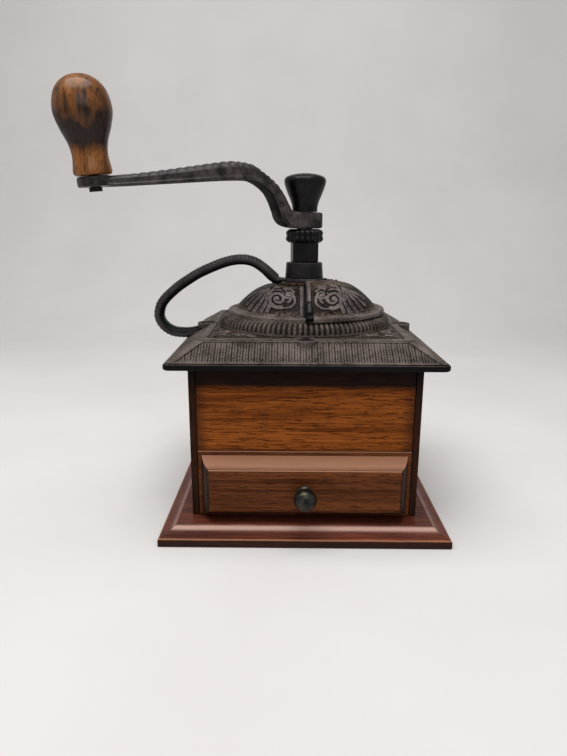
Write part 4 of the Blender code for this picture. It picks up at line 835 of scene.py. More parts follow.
def half_shell(name, outer, inner, normals, relief_height, start_angle, columns, finish):
    """Rows: down the outer skin and back up the inner one. Columns: angles. Ends folded to the middle."""
    angle = np.linspace(0.0, math.pi, columns)
    section = np.concatenate([outer, inner])
    rows, half = len(section), len(outer)
    reach = np.zeros((rows, columns))
    reach[:half] = relief_height
    push = np.zeros((rows, 2))
    push[:half] = normals
    radius = section[:, :1] + push[:, :1] * reach
    height = section[:, 1:] + push[:, 1:] * reach
    outer_share = np.arange(half) / (half - 1)
    inner_share = np.arange(len(inner)) / (len(inner) - 1)
    partner = np.stack([np.interp(outer_share, inner_share, inner[::-1, axis]) for axis in (0, 1)], -1)
    outer_mid = (outer + partner) / 2
    back_share = np.linspace(1.0, 0.0, len(inner))
    inner_mid = np.stack([np.interp(back_share, outer_share, outer_mid[:, axis]) for axis in (0, 1)], -1)
    middle = np.concatenate([outer_mid, inner_mid])
    turn = np.concatenate([[start_angle], start_angle + angle, [start_angle + math.pi]])
    radius = np.concatenate([middle[:, :1], radius, middle[:, :1]], 1)
    height = np.concatenate([middle[:, 1:], height, middle[:, 1:]], 1)
    points = np.stack([radius * np.cos(turn), radius * np.sin(turn), height], -1)
    hollow = 1.0 - np.clip(reach / (0.6 * mm), 0.0, 1.0)
    hollow[ornament_rows:half] = 0.05  # the rim is worn clean
    hollow[half:] = 0.6
    hollow = np.concatenate([hollow[:, :1], hollow, hollow[:, -1:]], 1)
    # Painted shade: the last columns at each end, where the two halves meet, are near-black.
    column = np.arange(columns + 2)
    soot = 1.0 - smooth_step(np.minimum(column, columns + 1 - column), 3.0, 9.0)
    return make_piece(name, points, grid_faces(rows, columns + 2, wrap_rows=True), finish, 50.0,
                      hollow=hollow, dusty=hollow * dust_shape(section[:, 1:]), soot=soot)


ornament_rows, ornament_columns, inner_rows = 120, 420, 30
lid_wall = 1.8 * mm
lid_clearance = 0.4 * mm
ornament_room = 0.8 * mm
fixed_inset = lid_wall + lid_clearance + ornament_room
half_angle = np.linspace(0.0, math.pi, ornament_columns)[None, :]
print("gap between lid and fixed half", round((lid_clearance + ornament_room) / mm, 2), "mm")

# %% [markdown]
# The lid's ornament is sunk: its ridges rise to the smooth dome's own height, so the skin starts a
# little lower and the relief brings it back.

# %% Lid shell
lid_start = hub_disc_radius - lid_clearance + lid_wall / 2
lid_end = dome_radius_at(lid_rim_top)
lid_ring_bottom = hub_disc_top + fit_gap
lid_ring_top = lid_ring_bottom + 1.6 * mm
rim_inner = bead_radius + lid_clearance
rim_outer = rim_inner + 2.2 * mm
rim_low = bead_top - 2.1 * mm
underside = bead_top + lid_clearance
underside_radius = dome_radius_at(underside, lid_wall)
lid_sink = ornament_room * 0.8

lid_line, lid_normal = dome_meridian(lid_start, lid_end, lid_sink, ornament_rows)
lid_rise = (along(lid_line)[-1] - along(lid_line))[:, None]
lid_relief = dome_relief(half_angle, lid_line[:, :1], lid_rise)
fade = smooth_step(along(lid_line), 0.0, 1.5 * mm)[:, None]
lid_relief = np.maximum(lid_relief * fade, lid_sink * (1.0 - fade))
rim = softened([(lid_end, lid_rim_top), (rim_outer - 0.5 * mm, lid_rim_top),
                (rim_outer, lid_rim_top - 0.8 * mm), (rim_outer, rim_low + 0.5 * mm),
                (rim_outer - 0.4 * mm, rim_low), (rim_inner, rim_low), (rim_inner, underside),
                (underside_radius, underside)], 0.35 * mm)
lid_inner_line, _ = dome_meridian(hub_disc_radius + lid_wall, underside_radius, lid_wall, inner_rows)
lid_outer = np.concatenate([lid_line, rim[1:-1]])
lid_push = np.concatenate([lid_normal, np.zeros((len(rim) - 2, 2))])
lid_height = np.concatenate([lid_relief, np.zeros((len(rim) - 2, ornament_columns))])
lid_shell = half_shell("lid_shell", lid_outer, lid_inner_line[::-1], lid_push, lid_height, -math.pi / 2,
                       ornament_columns, dome_iron)
settle(lid_shell, "lid", "cast_iron", "hopper_lid")

# %% [markdown]
# The lid turns on a flat ring that lies on the hub's disc, round its neck. The ring is hidden by the
# collar but for its edge, so a plain lathe will do.

# %% Lid pivot ring
pivot_radius = hub_disc_radius + 0.6 * mm
pivot_profile = softened([(neck_hole, lid_ring_bottom), (pivot_radius, lid_ring_bottom),
                          (pivot_radius, lid_ring_top), (neck_hole, lid_ring_top),
                          (neck_hole, lid_ring_bottom)], 0.2 * mm)[:-1]
pivot_ring = turned_piece("lid_pivot_ring", pivot_profile, 96, dome_iron, ring=True, hollow=0.4, dusty=1.0)
settle(pivot_ring, "lid", "cast_iron")

# %% [markdown]
# The fixed half lies lower, so that the lid can swing over it. Its foot lands on the bead.

# %% Fixed shell
fixed_wall = 2.6 * mm
fixed_start = hub_disc_radius + lid_wall
fixed_end = dome_radius_at(bead_top - fit_gap, fixed_inset)
fixed_line, fixed_normal = dome_meridian(fixed_start, fixed_end, fixed_inset, ornament_rows)
fixed_rise = (along(fixed_line)[-1] - along(fixed_line))[:, None]
fixed_relief = dome_relief(math.pi - half_angle, fixed_line[:, :1], fixed_rise)
fixed_relief = fixed_relief * smooth_step(along(fixed_line), 0.0, 1.0 * mm)[:, None]
fixed_inner_end = dome_radius_at(ring_top, fixed_inset + fixed_wall)
fixed_inner_line, _ = dome_meridian(fixed_start - 1.0 * mm, fixed_inner_end, fixed_inset + fixed_wall,
                                    inner_rows)
fixed_shell = half_shell("dome_fixed_shell", fixed_line, fixed_inner_line[::-1], fixed_normal, fixed_relief,
                         math.pi / 2, ornament_columns, dome_iron)
settle(fixed_shell, "mill_body", "cast_iron")

# %% [markdown]
# ## The ribbed ring
# The ring round the hopper's mouth is one lathe: a quarter round with 108 ribs, and a plain bead above it.
# An Array of ribs would be 108 bodies to weld on. Instead a rib is cut into the skin along its own normal,
# because the quarter round turns from upright to flat.

# %% Ring
mouth_radius = 43.0 * mm
rib_count = 108
rib_depth = 0.75 * mm
ring_steps = rib_count * 12
ring_shares = np.array([(0.0, 0.0), (0.0, 0.20), (0.05, 0.45), (0.19, 0.70), (0.42, 0.88), (0.70, 0.97),
                        (1.0, 1.0)])
ring_curve = np.stack([ring_foot - (ring_foot - bead_radius) * ring_shares[:, 0],
                       ring_bottom + (ring_top - ring_bottom) * ring_shares[:, 1]], -1)
ring_curve = resampled(flowing(ring_curve, 8), 34)
ring_line = np.concatenate([
    [(mouth_radius, ring_bottom), (47.5 * mm, ring_bottom)], ring_curve,
    softened([(bead_radius, ring_top), (bead_radius, bead_top - 0.7 * mm), (bead_radius - 0.7 * mm, bead_top),
              (mouth_radius, bead_top)], 0.4 * mm, 4)[1:]])
ring_slope = np.gradient(ring_line, axis=0)
ring_slope /= np.linalg.norm(ring_slope, axis=1, keepdims=True)
ring_angle = full_turn * np.arange(ring_steps) / ring_steps
rib_zone = (smooth_step(ring_line[:, 1:2], ring_bottom + 0.7 * mm, ring_bottom + 1.3 * mm)
            * (ring_line[:, :1] > bead_radius + 0.3 * mm) * (ring_line[:, 1:2] < ring_top + 0.01 * mm))
rib_phase = rib_count * ring_angle / full_turn
rib_cut = rib_depth * rib_zone * (1.0 - ridge(rib_phase))
ring_radius = ring_line[:, :1] - rib_cut * ring_slope[:, 1:2]
ring_height = ring_line[:, 1:2] + rib_cut * ring_slope[:, :1]
ring_points = np.stack([ring_radius * np.cos(ring_angle), ring_radius * np.sin(ring_angle),
                        ring_height + 0.0 * ring_angle], -1)
ring_hollow = np.clip(rib_cut / rib_depth * 0.8, 0.0, 1.0)
dome_ring = make_piece("dome_ring", ring_points, grid_faces(len(ring_line), ring_steps, True, True),
                       roof_iron, hollow=ring_hollow, dusty=0.25)
settle(dome_ring, "mill_body", "cast_iron", "dome_casting")

# %% [markdown]
# The hub is a disc with a neck that the lid, the handle and the collar go round. It is cast in one with
# the fixed half; as a lathe of its own it stays perfectly round where they turn.

# %% Hub
hub_radius = hub_disc_radius + 1.4 * mm
hub_low, hub_face, neck_top = hub_disc_top - 4.0 * mm, hub_disc_top - 0.1 * mm, collar_high[2] - 0.4 * mm
hub_line = softened([(shaft_hole, hub_low), (hub_radius, hub_low), (hub_radius, hub_face),
                     (neck_radius, hub_face), (neck_radius, neck_top), (shaft_hole, neck_top),
                     (shaft_hole, hub_low)], 0.2 * mm)[:-1]
dome_hub = turned_piece("dome_hub", hub_line, 96, dome_iron, ring=True, hollow=0.4, dusty=0.4)
settle(dome_hub, "mill_body", "cast_iron")

# %% [markdown]
# ## The roof's shell
# The roof is a square casting, so its rows are rounded squares instead of circles: four straight runs with
# a quarter circle between each two. Near the mouth the rows change into circles. The lip ends in a thin
# bright bead, and the flat top has a plain frame with a groove inside it. Bevels on a box would round the
# edges, but could not turn a square into a circle, and rows can. The roof is dished a little where the
# screw cups will stand, so their places are named here.

# %% Roof measures
roof_bottom, roof_top = roof_low[2], roof_high[2]
eave_half = roof_high[0]
lip_height = 3.0 * mm
break_inset = 16.35 * mm
slope_rise = 10.2 * mm
slope_length = math.hypot(break_inset, slope_rise)
slope_out, slope_up = slope_rise / slope_length, break_inset / slope_length
throat_radius = 43.6 * mm
roof_plate = 3.0 * mm
eave_corner, inner_corner = 3.0 * mm, 1.5 * mm


def quarter_turn(quarter):
    """Cosine and sine of a number of right angles, as whole numbers."""
    return (1, 0, -1, 0)[quarter], (0, 1, 0, -1)[quarter]


def slope_height(inset):
    """Height of the plain slope at a distance in from the eaves."""
    return roof_bottom + lip_height + inset * slope_rise / break_inset


def square_row(half_x, half_y, corner, height, per_side=160, per_corner=10):
    """Four straight runs, each followed by a quarter circle, turned by a right angle from one to the next."""
    run = np.linspace(-1.0, 1.0, per_side, endpoint=False)
    arc = np.linspace(0.0, math.pi / 2, per_corner, endpoint=False)
    pieces = []
    for side in range(4):
        out, across = (half_x, half_y) if side % 2 == 0 else (half_y, half_x)
        x = np.concatenate([np.full(per_side, out), out - corner + corner * np.cos(arc)])
        y = np.concatenate([run * (across - corner), across - corner + corner * np.sin(arc)])
        c, s = quarter_turn(side)
        pieces.append(np.stack([x * c - y * s, x * s + y * c, 0.0 * x + height], -1))
    return np.concatenate(pieces)


def eave_row(inset, height, corner=eave_corner):
    """A rounded square at a distance in from the eaves."""
    return square_row(eave_half - inset, eave_half - inset, corner, height)


def throat_row(radius, height):
    """A circle whose points lie on the same rays as the points of the square rows."""
    square = square_row(eave_half, eave_half, eave_corner, height)
    ray = square[:, :2] / np.linalg.norm(square[:, :2], axis=1, keepdims=True)
    return np.concatenate([ray * radius, square[:, 2:]], 1)


print("slope from", round(slope_height(0.0) / mm, 1), "to", round(slope_height(break_inset) / mm, 1), "mm")


# %% Roof shell
cup_top = 110.4 * mm
cup_places = {"front": (0.0, -57.0 * mm), "back": (0.0, 57.0 * mm),
              "left": (-60.25 * mm, 0.0), "right": (60.25 * mm, 0.0)}


def cup_dent(x, y):
    """1 within 5.4 mm of a screw cup's middle, where the casting is hollowed out, and 0 elsewhere."""
    gaps = [np.hypot(x - cup_x, y - cup_y) for cup_x, cup_y in cup_places.values()]
    return 1.0 - smooth_step(np.minimum.reduce(gaps), 5.2 * mm, 5.6 * mm)


under_height = 98.84 * mm
wall_clear_x, wall_clear_y = 56.7 * mm, 53.45 * mm
lip = softened([(3.0 * mm, 0.0), (0.6 * mm, 0.0), (0.0, 0.7 * mm), (0.0, 2.75 * mm), (0.35 * mm, 3.2 * mm),
                (1.0 * mm, 3.3 * mm), (1.35 * mm, 3.0 * mm)], 0.3 * mm, 3)
wall_inset, rim_inset = 10.15 * mm, 3.0 * mm
foot_inset, frame_inset = 1.6 * mm, 15.8 * mm
roof_rows = [throat_row(throat_radius, roof_top), throat_row(throat_radius, roof_top - roof_plate),
             square_row(wall_clear_x, wall_clear_y, eave_corner, roof_top - roof_plate),
             square_row(wall_clear_x, wall_clear_y, eave_corner, roof_bottom),
             eave_row(wall_inset, roof_bottom, inner_corner),
             eave_row(wall_inset, slope_height(wall_inset) - 3.5 * mm, inner_corner),
             eave_row(rim_inset, under_height, inner_corner)]
roof_rows += [eave_row(inset, roof_bottom + rise) for inset, rise in lip]
roof_rows += [eave_row(foot_inset, slope_height(foot_inset) - 1.1 * mm),
              eave_row(frame_inset, slope_height(frame_inset) - 1.1 * mm, inner_corner),
              eave_row(15.95 * mm, roof_top - 0.55 * mm, inner_corner)]
frame_line = softened([(16.0 * mm, -0.5 * mm), (16.7 * mm, 0.0), (20.5 * mm, 0.0), (20.7 * mm, -0.55 * mm),
                       (21.15 * mm, -0.55 * mm), (21.35 * mm, -0.05 * mm)], 0.2 * mm, 3)
frame_line = np.concatenate([frame_line[:5], [(inset * mm, 0.0) for inset in (17.2, 17.8, 18.4, 19.0, 19.6)],
                             frame_line[5:], [(22.5 * mm, 0.0), (23.5 * mm, 0.0), (25.0 * mm, 0.0)]])
roof_rows += [eave_row(inset, roof_top + drop, inner_corner) for inset, drop in frame_line]
roof_points = np.stack(roof_rows)
in_cup = cup_dent(roof_points[..., 0], roof_points[..., 1]) * (roof_points[..., 2] > roof_top - 1.0 * mm)
roof_points[..., 2] -= 1.9 * mm * in_cup
# Painted shade: the underside and the lip up to its bead are near-black.
below_bead = (np.arange(len(roof_rows)) < len(lip))[:, None]  # the underside and the lip up to its bead
in_groove = np.abs(roof_points[..., 2] - roof_top + 0.55 * mm) < 0.1 * mm
on_top = roof_points[..., 2] > roof_top - 0.1 * mm
roof_shell = make_piece("roof_shell", roof_points,
                        grid_faces(len(roof_rows), roof_points.shape[1], True, True), roof_iron, 35.0,
                        hollow=np.maximum(in_groove, 0.1 * on_top), dusty=0.3, soot=below_bead)
settle(roof_shell, "mill_body", "cast_iron", "roof_casting")

# %% [markdown]
# ## The reeded slopes
# Each slope is reeded: rounded ribs 1.5 mm apart run straight down it, and every second groove is deeper.
# They stop in round ends below a plain border, and run out into a plain band at the eaves. The columns of
# the grid follow the ribs and are simply shorter near a hip, so that no rib is cut into steps, as it would
# be by a height map on a square grid.

# %% Slopes
reed_pitch = 1.5 * mm
deep_groove, fine_groove = 0.62 * mm, 0.40 * mm
hip_border, skin_depth = 4.5 * mm, 1.0 * mm


def reeding(x, inset):
    """Depth below the plain slope: -D (1 - sqrt(1 - (1 - 2d)^2) * end), d = distance to the next groove."""
    groove = np.round(x / reed_pitch)
    d = np.abs(x / reed_pitch - groove)
    depth = np.where(groove % 2 == 0, deep_groove, fine_groove)
    crest = np.sqrt(np.clip(1.0 - (1.0 - 2.0 * d) ** 2, 0.0, 1.0))
    to_hip = (eave_half - inset - np.abs(x) - hip_border) * 0.7
    to_top = (15.1 * mm - inset) * slope_length / break_inset
    end = np.minimum(to_hip, to_top)
    rounding = np.sqrt(np.clip(1.0 - (1.0 - np.clip(end / (0.8 * mm), 0.0, 1.0)) ** 2, 0.0, 1.0))
    ribs = -depth * (1.0 - crest * rounding)
    border = smooth_step(-end, 0.25 * mm, 0.45 * mm)
    foot = 1.0 - smooth_step(inset, 2.1 * mm, 2.9 * mm)
    return ribs * (1.0 - border) * (1.0 - foot)


def slope_skin(name, quarter):
    """One reeded slope as a thin closed slab: rows up the slope, then the underside."""
    x = np.arange(-73.05, 73.06, 0.1875) * mm
    limit = np.minimum(15.95 * mm, eave_half - np.abs(x))
    low = 1.3 * mm
    share = 0.5 - 0.5 * np.cos(np.pi * np.linspace(0.0, 1.0, 34))
    share = 0.5 * share + 0.5 * np.linspace(0.0, 1.0, 34)
    inset = low + share[:, None] * np.maximum(limit - low, 0.0)
    depth = reeding(x + 0.0 * inset, inset)
    arris = 0.22 * mm * np.exp(-((eave_half - inset - np.abs(x) - 0.6 * mm) / (0.35 * mm)) ** 2)
    depth = depth + arris * smooth_step(eave_half - inset - np.abs(x), 0.0, 0.4 * mm)
    c, s = quarter_turn(quarter)
    out = eave_half - inset
    depth = depth - 2.2 * mm * cup_dent(x * c + out * s, x * s - out * c)
    push = np.concatenate([depth, np.full((2, len(x)), -skin_depth)])
    inset = np.concatenate([inset, inset[-1:], inset[:1]])
    along_x = x + 0.0 * inset
    out = eave_half - inset + push * slope_out
    up = slope_height(inset) + push * slope_up
    points = np.stack([along_x * c + out * s, along_x * s - out * c, up], -1)
    hollow = np.clip(-push / deep_groove, 0.0, 1.0)
    skin = make_piece(name, points, grid_faces(len(push), len(x), wrap_rows=True), roof_iron, 50.0,
                      hollow=hollow, dusty=0.3)
    return settle(skin, "mill_body", "cast_iron")


for quarter, side in enumerate(("front", "right", "back", "left")):
    slope_skin(f"roof_slope_{side}", quarter)

# %% [markdown]
# ## Scrolls in the roof's corners
# Between the ring and the frame each corner holds a low cast scroll. It is a height field again, on a
# patch of rings between the circle and the square. The patch is symmetrical, so half its stems do.

# %% Corner scrolls


def corner_scroll(name, quarter):
    """Rows run from the ring out to the frame, columns along the corner; two scrolls and a leaf."""
    turn = np.linspace(-0.70, 0.70, 150)[None, :]
    outer = 52.9 * mm / np.cos(math.pi / 4 - np.abs(turn))
    inner = 50.0 * mm
    share = np.linspace(0.0, 1.0, 60)[:, None]
    radius = inner + (outer - inner) * share
    across = radius * np.sin(turn)
    outward = radius * np.cos(turn) - 52.7 * mm
    height = np.zeros(radius.shape)
    folded = np.abs(across)
    add_curl(height, folded, outward, (5.4, 6.2), (3.6, 0.7), -1.4, 1.5, (1.1, 0.8), 0.7)
    add_vine(height, folded, outward, [(5.4, 2.3), (11.0, 1.2), (17.0, 2.6)], (1.1, 0.6), 0.65)
    add_vine(height, folded, outward, [(9.2, 5.4), (13.0, 3.8), (17.5, 4.6)], (0.7, 1.2), 0.65, 0.25)
    add_vine(height, folded, outward, [(0.0, 10.5), (0.0, 18.0)], (1.9, 0.6), 0.75, 0.3, per_span=1)
    add_vine(height, folded, outward, [(0.0, 11.0), (4.0, 12.5), (6.5, 11.0)], (1.2, 0.5), 0.6)
    height *= smooth_step(share, 0.0, 0.12) * (1.0 - smooth_step(share, 0.93, 1.0))
    level = roof_top + 0.05 * mm + height
    top = np.stack([radius * np.cos(turn), radius * np.sin(turn), level], -1)
    under = top[[-1, 0]].copy()
    under[..., 2] = roof_top - 0.4 * mm
    points = turned_about_z(np.concatenate([top, under]), math.pi / 4 + quarter * math.pi / 2)
    hollow = np.concatenate([1.0 - np.clip(height / (0.6 * mm), 0.0, 1.0), np.ones((2, height.shape[1]))])
    near_ring = np.concatenate([1.0 - smooth_step(share, 0.08, 0.34), np.zeros((2, 1))])
    patch = make_piece(name, points, grid_faces(len(points), height.shape[1], wrap_rows=True), dome_iron,
                       60.0, hollow=hollow, dusty=hollow * (0.5 + 1.4 * near_ring))
    return settle(patch, "mill_body", "cast_iron")


for quarter in range(4):
    corner_scroll(f"corner_scroll_{quarter + 1}", quarter)

# %% [markdown]
# ## Screw cups
# A wood screw goes through the middle of each roof side, in a cast cup that grows out of the slope. The
# cup is a skewed cone: its rings grow and move inwards as they rise, so that its front is upright. A true
# cone joined by a Boolean would have to be trimmed to the slope. The screw heads are black with age, like
# the collar.

# %% Screw cups and screws


def screw_cup(side, x, y):
    """Rings of radius r about a centre pushed outwards by 4.1 (1 - t) mm, then the rim and the sunk floor."""
    t = np.linspace(0.0, 1.0, 16)
    wall = np.stack([(2.1 + 4.1 * t) * mm, 4.1 * (1.0 - t) * mm, cup_top - 7.0 * (1.0 - t) * mm], -1)
    mouth = softened([(6.2 * mm, cup_top - 0.3 * mm), (6.2 * mm, cup_top + 0.75 * mm),
                      (5.1 * mm, cup_top + 0.85 * mm),
                      (4.6 * mm, cup_top - 0.9 * mm), (0.0, cup_top - 0.9 * mm)], 0.4 * mm, 3)[1:]
    rings = np.concatenate([[(0.0, 4.1 * mm, cup_top - 7.0 * mm)], wall[:-1],
                            np.stack([mouth[:, 0], 0.0 * mouth[:, 0], mouth[:, 1]], -1)])
    angle = full_turn * np.arange(64) / 64
    points = np.stack([rings[:, :1] * np.cos(angle) + rings[:, 1:2], rings[:, :1] * np.sin(angle),
                       rings[:, 2:] + 0.0 * angle], -1)
    points = turned_about_z(points, math.atan2(y, x)) + np.array([x, y, 0.0])
    inside = np.arange(len(rings))[:, None] > 17
    # Painted shadow: the sunk floor round the screw head is near-black.
    sunk = (rings[:, 2:] < cup_top + 0.2 * mm) & (rings[:, :1] < 5.2 * mm) & inside
    cup = make_piece(f"screw_cup_{side}", points, grid_faces(len(rings), 64, False, True), roof_iron, 50.0,
                     hollow=0.0, dusty=0.1, soot=sunk)
    return settle(cup, "mill_body", "cast_iron")


def slotted_head(side, x, y, slot_turn):
    """A low domed head; the slot lowers every point that lies within 0.4 mm of one diameter."""
    profile = softened([(0.0, 0.45 * mm), (2.2 * mm, 0.35 * mm), (3.4 * mm, -0.1 * mm),
                        (3.6 * mm, -0.7 * mm)], 0.5 * mm, 4)
    radius = np.concatenate([np.linspace(0.0, profile[-1, 0], 30), [3.6 * mm, 0.0]])[:, None]
    rise = np.concatenate([np.interp(radius[:30, 0], profile[:, 0], profile[:, 1]),
                           [-0.85 * mm, -0.85 * mm]])[:, None]
    angle = full_turn * np.arange(96) / 96
    flat_x, flat_y = radius * np.cos(angle), radius * np.sin(angle)
    off = np.abs(-flat_x * math.sin(slot_turn) + flat_y * math.cos(slot_turn))
    slot = 0.6 * mm * (1.0 - smooth_step(off, 0.32 * mm, 0.48 * mm)) * (np.arange(32)[:, None] < 30)
    points = np.stack([flat_x + x, flat_y + y, cup_top + rise - slot + 0.0 * angle], -1)
    head = make_piece(f"screw_head_{side}", points, grid_faces(32, 96, False, True), collar_black, 40.0)
    return settle(head, "mill_body", "plain_steel", f"roof_screw_{side}")


for (side, (x, y)), slot_turn in zip(cup_places.items(), (0.5, 1.9, 0.9, 2.6)):
    screw_cup(side, x, y)
    slotted_head(side, x, y, slot_turn)

# %% [markdown]
# ## The crank
# The crank is a casting like a shallow gutter turned upside down: a crowned top with a rope-like edge, two
# flat sides with a small bead along their lower edges, and a hollow underneath. A curve with a bevel
# object would sweep one section, but not let it thin out towards the grip. So the section is carried along
# the swan-necked path, square to it, and its thickness changes on the way.

# %% Sweep helper


def rounded_loop(corners, cut, steps=3):
    """A closed polygon with every corner softened."""
    corners = np.asarray(corners, float)
    middle = (corners[0] + corners[-1]) / 2
    return softened(np.concatenate([[middle], corners, [middle]]), cut, steps)[:-1]


def sweep(path, section, half_width, half_thickness, swell=None):
    """Point = path + across * half_width * Y + up * half_thickness * normal, the normal being in XZ."""
    slope = np.gradient(path, axis=0)
    slope /= np.linalg.norm(slope, axis=1, keepdims=True)
    normal = np.stack([-slope[:, 1], slope[:, 0]], -1)
    normal *= np.sign(normal[:, 1:2] + 1e-9) if abs(normal[:, 1]).min() > 0.02 else 1.0
    reach = section[None, :, 1] * half_thickness[:, None] + (0.0 if swell is None else swell)
    x = path[:, :1] + normal[:, :1] * reach
    z = path[:, 1:] + normal[:, 1:] * reach
    y = section[None, :, 0] * np.broadcast_to(half_width, len(path))[:, None]
    return np.stack([x, y, z], -1)


# %% Crank arm
crank_reach, crank_rise, crank_middle = 121.3 * mm, 26.4 * mm, 173.15 * mm
eye_height = 9.3 * mm
crank_width = 14.0 * mm
crank_shares = np.array([
    (0.020, 0.0, 0.95), (0.045, 0.0, 0.95), (0.066, 0.0, 0.95), (0.107, 0.076, 1.02), (0.129, 0.248, 0.88),
    (0.152, 0.452, 0.79), (0.184, 0.659, 0.72), (0.222, 0.801, 0.72), (0.260, 0.903, 0.76),
    (0.305, 0.984, 0.95),
    (0.385, 0.996, 1.07), (0.470, 0.958, 1.01), (0.585, 0.890, 0.88), (0.750, 0.794, 0.70),
    (0.897, 0.718, 0.58),
    (1.0, 0.680, 0.52)])
crank_curve = flowing(crank_shares * [-crank_reach, crank_rise, eye_height], 20)
crank_curve[:, 1] += crank_middle
crank_travel = along(crank_curve[:, :2])
even = np.linspace(0.0, crank_travel[-1], 520)
crank_path = np.stack([np.interp(even, crank_travel, crank_curve[:, axis]) for axis in (0, 1)], -1)
crank_half = np.interp(even, crank_travel, crank_curve[:, 2]) / 2
crank_section = rounded_loop([
    (0.93, -0.52), (0.93, 0.30), (0.72, 0.80), (0.32, 1.0), (-0.32, 1.0), (-0.72, 0.80), (-0.93, 0.30),
    (-0.93, -0.52),
    (-1.0, -0.68), (-1.0, -1.0), (-0.80, -1.0), (-0.66, 0.08), (0.66, 0.08), (0.80, -1.0), (1.0, -1.0),
    (1.0, -0.68)],
    0.10, 3)

# %% [markdown]
# The rope edge is a row of humps that rise slowly and drop fast. Their phase grows with the distance along
# the arm and, a little, with the distance across it, so that they slant like the strands of a rope.

# %% Rope edge and the finished arm
out_from_eye = -crank_path[:, 0]
hump_pitch = np.where(out_from_eye > 46.0 * mm, 5.0 * mm, 3.4 * mm)
hump_phase = (np.cumsum(np.gradient(even) / hump_pitch)[:, None] + 0.22 * crank_section[None, :, 0]
              + 0.45 * (1.0 - crank_section[None, :, 1]))
hump = hump_phase % 1.0
hump_shape = np.sin(np.pi * np.clip(hump, 0.0, 1.0)) ** 0.7
rope_zone = (smooth_step(out_from_eye, 17.0 * mm, 24.0 * mm) * (1.0 - smooth_step(out_from_eye, 96.0 * mm,
                                                                                  110.0 * mm)))[:, None]
rope_edge = smooth_step(crank_section[None, :, 1], -0.75, 0.5)
rope_swell = -0.55 * mm * rope_zone * rope_edge * (1.0 - hump_shape)
arm_points = sweep(crank_path, crank_section, crank_width / 2, crank_half, rope_swell)
arm_points = turned_about_z(arm_points, crank_angle)
# Darker rope grooves, and painted shade inside the channel underneath the arm.
arm_ropes_and_shade = np.clip(-rope_swell / (0.55 * mm), 0.0, 1.0) + smooth_step(-crank_section[None, :, 1], -0.6,
                                                                       -0.3) * (
    np.abs(crank_section[None, :, 0]) < 0.74)
arm_ends = np.stack([arm_points[0].mean(0), arm_points[-1].mean(0)])
arm_points = np.concatenate([np.broadcast_to(arm_ends[0], (1, len(crank_section), 3)), arm_points,
                             np.broadcast_to(arm_ends[1], (1, len(crank_section), 3))])
arm_ropes_and_shade = np.concatenate([arm_ropes_and_shade[:1], arm_ropes_and_shade, arm_ropes_and_shade[-1:]])
crank_arm = make_piece("crank_casting", arm_points, grid_faces(len(arm_points), len(crank_section), False,
                                                               True),
                       crank_iron, 45.0, hollow=np.clip(arm_ropes_and_shade, 0.0, 1.0))
settle(crank_arm, "spindle", "black_iron", "crank_arm")

# %% [markdown]
# At the shaft the arm ends in an eye, a block with round corners. It is a stack of rounded squares, the
# same rows as the roof's.

# %% Crank eye
eye_rows = softened([(0.0, -0.5), (0.93, -0.5), (1.0, -0.42), (1.0, 0.42), (0.93, 0.5), (0.0, 0.5)], 0.05, 4)
eye_loops = []
for share, height in eye_rows:
    edge = (1.0 - share) * 9.6 * mm if share > 0.6 else 0.0
    half_x, half_y = (9.6 * mm - edge, 7.3 * mm - edge) if share > 0.6 else (9.6 * mm * share,
                                                                             7.3 * mm * share)
    corner = min(3.5 * mm, half_x, half_y)
    eye_loops.append(square_row(half_x, half_y, corner, crank_middle + height * eye_height, 10, 10))
crank_eye = make_piece("crank_eye", turned_about_z(np.stack(eye_loops), crank_angle),
                       grid_faces(len(eye_loops), 80, False, True), crank_iron, 45.0, hollow=0.0)
settle(crank_eye, "spindle", "black_iron")

# %% [markdown]
# At the far end a round pad carries the grip. It leans outwards with the grip, so both are turned upright
# and then placed by one matrix.

# %% Pad at the crank's end
pad_height = crank_middle + crank_rise * crank_shares[-1, 1]
grip_place = (Matrix.Rotation(crank_angle, 4, "Z") @ Matrix.Translation((-crank_reach, 0.0, pad_height))
              @ Matrix.Rotation(-grip_lean, 4, "Y"))

pad_line = softened([(0.0, -2.5 * mm), (8.0 * mm, -2.5 * mm), (8.5 * mm, -1.9 * mm), (8.5 * mm, 1.7 * mm),
                     (7.9 * mm, 2.5 * mm), (0.0, 2.5 * mm)], 0.6 * mm, 4)
crank_pad = turned_piece("crank_pad", pad_line, 72, crank_iron, 45.0, place=grip_place, hollow=0.0)
settle(crank_pad, "spindle", "black_iron")

# %% [markdown]
# ## The grip
# The grip is turned: a foot, a waist and a full round head. Its profile runs through nine measured points
# and ends on the axis. A smooth curve through few points keeps the bulge even, as a turner's chisel does,
# and the whole lathe leans with the pad that it stands on.

# %% Grip
grip_shares = np.array([(0.0, 0.0), (0.0, 0.58), (0.012, 0.645), (0.035, 0.672), (0.065, 0.668),
                        (0.20, 0.617),
                        (0.33, 0.68), (0.48, 0.87), (0.64, 1.0), (0.80, 0.925), (0.90, 0.745), (0.965, 0.48),
                        (0.992, 0.24), (1.0, 0.0)])
grip_length, grip_radius = 46.2 * mm, 14.15 * mm
grip_curve = np.concatenate([grip_shares[:1], flowing(grip_shares[1:], 10)])
grip_line = np.stack([np.maximum(grip_curve[:, 1], 0.0) * grip_radius,
                      np.clip(grip_curve[:, 0], 0.0, 1.0) * grip_length], -1)
grip_seat = grip_place @ Matrix.Translation((0.0, 0.0, 3.0 * mm))
turned_grip = turned_piece("turned_grip", grip_line, 128, grip_wood, 60.0, place=grip_seat)
settle(turned_grip, "grip", "grip_wood", "crank_grip")

# %% [markdown]
# ## Knob, collar and nut on the shaft
# The knob and the collar are plain lathes. The adjusting nut is six-sided below, and its flange has
# eighteen lobes that the fingers turn it by: its radius depends on the angle as well as the height.

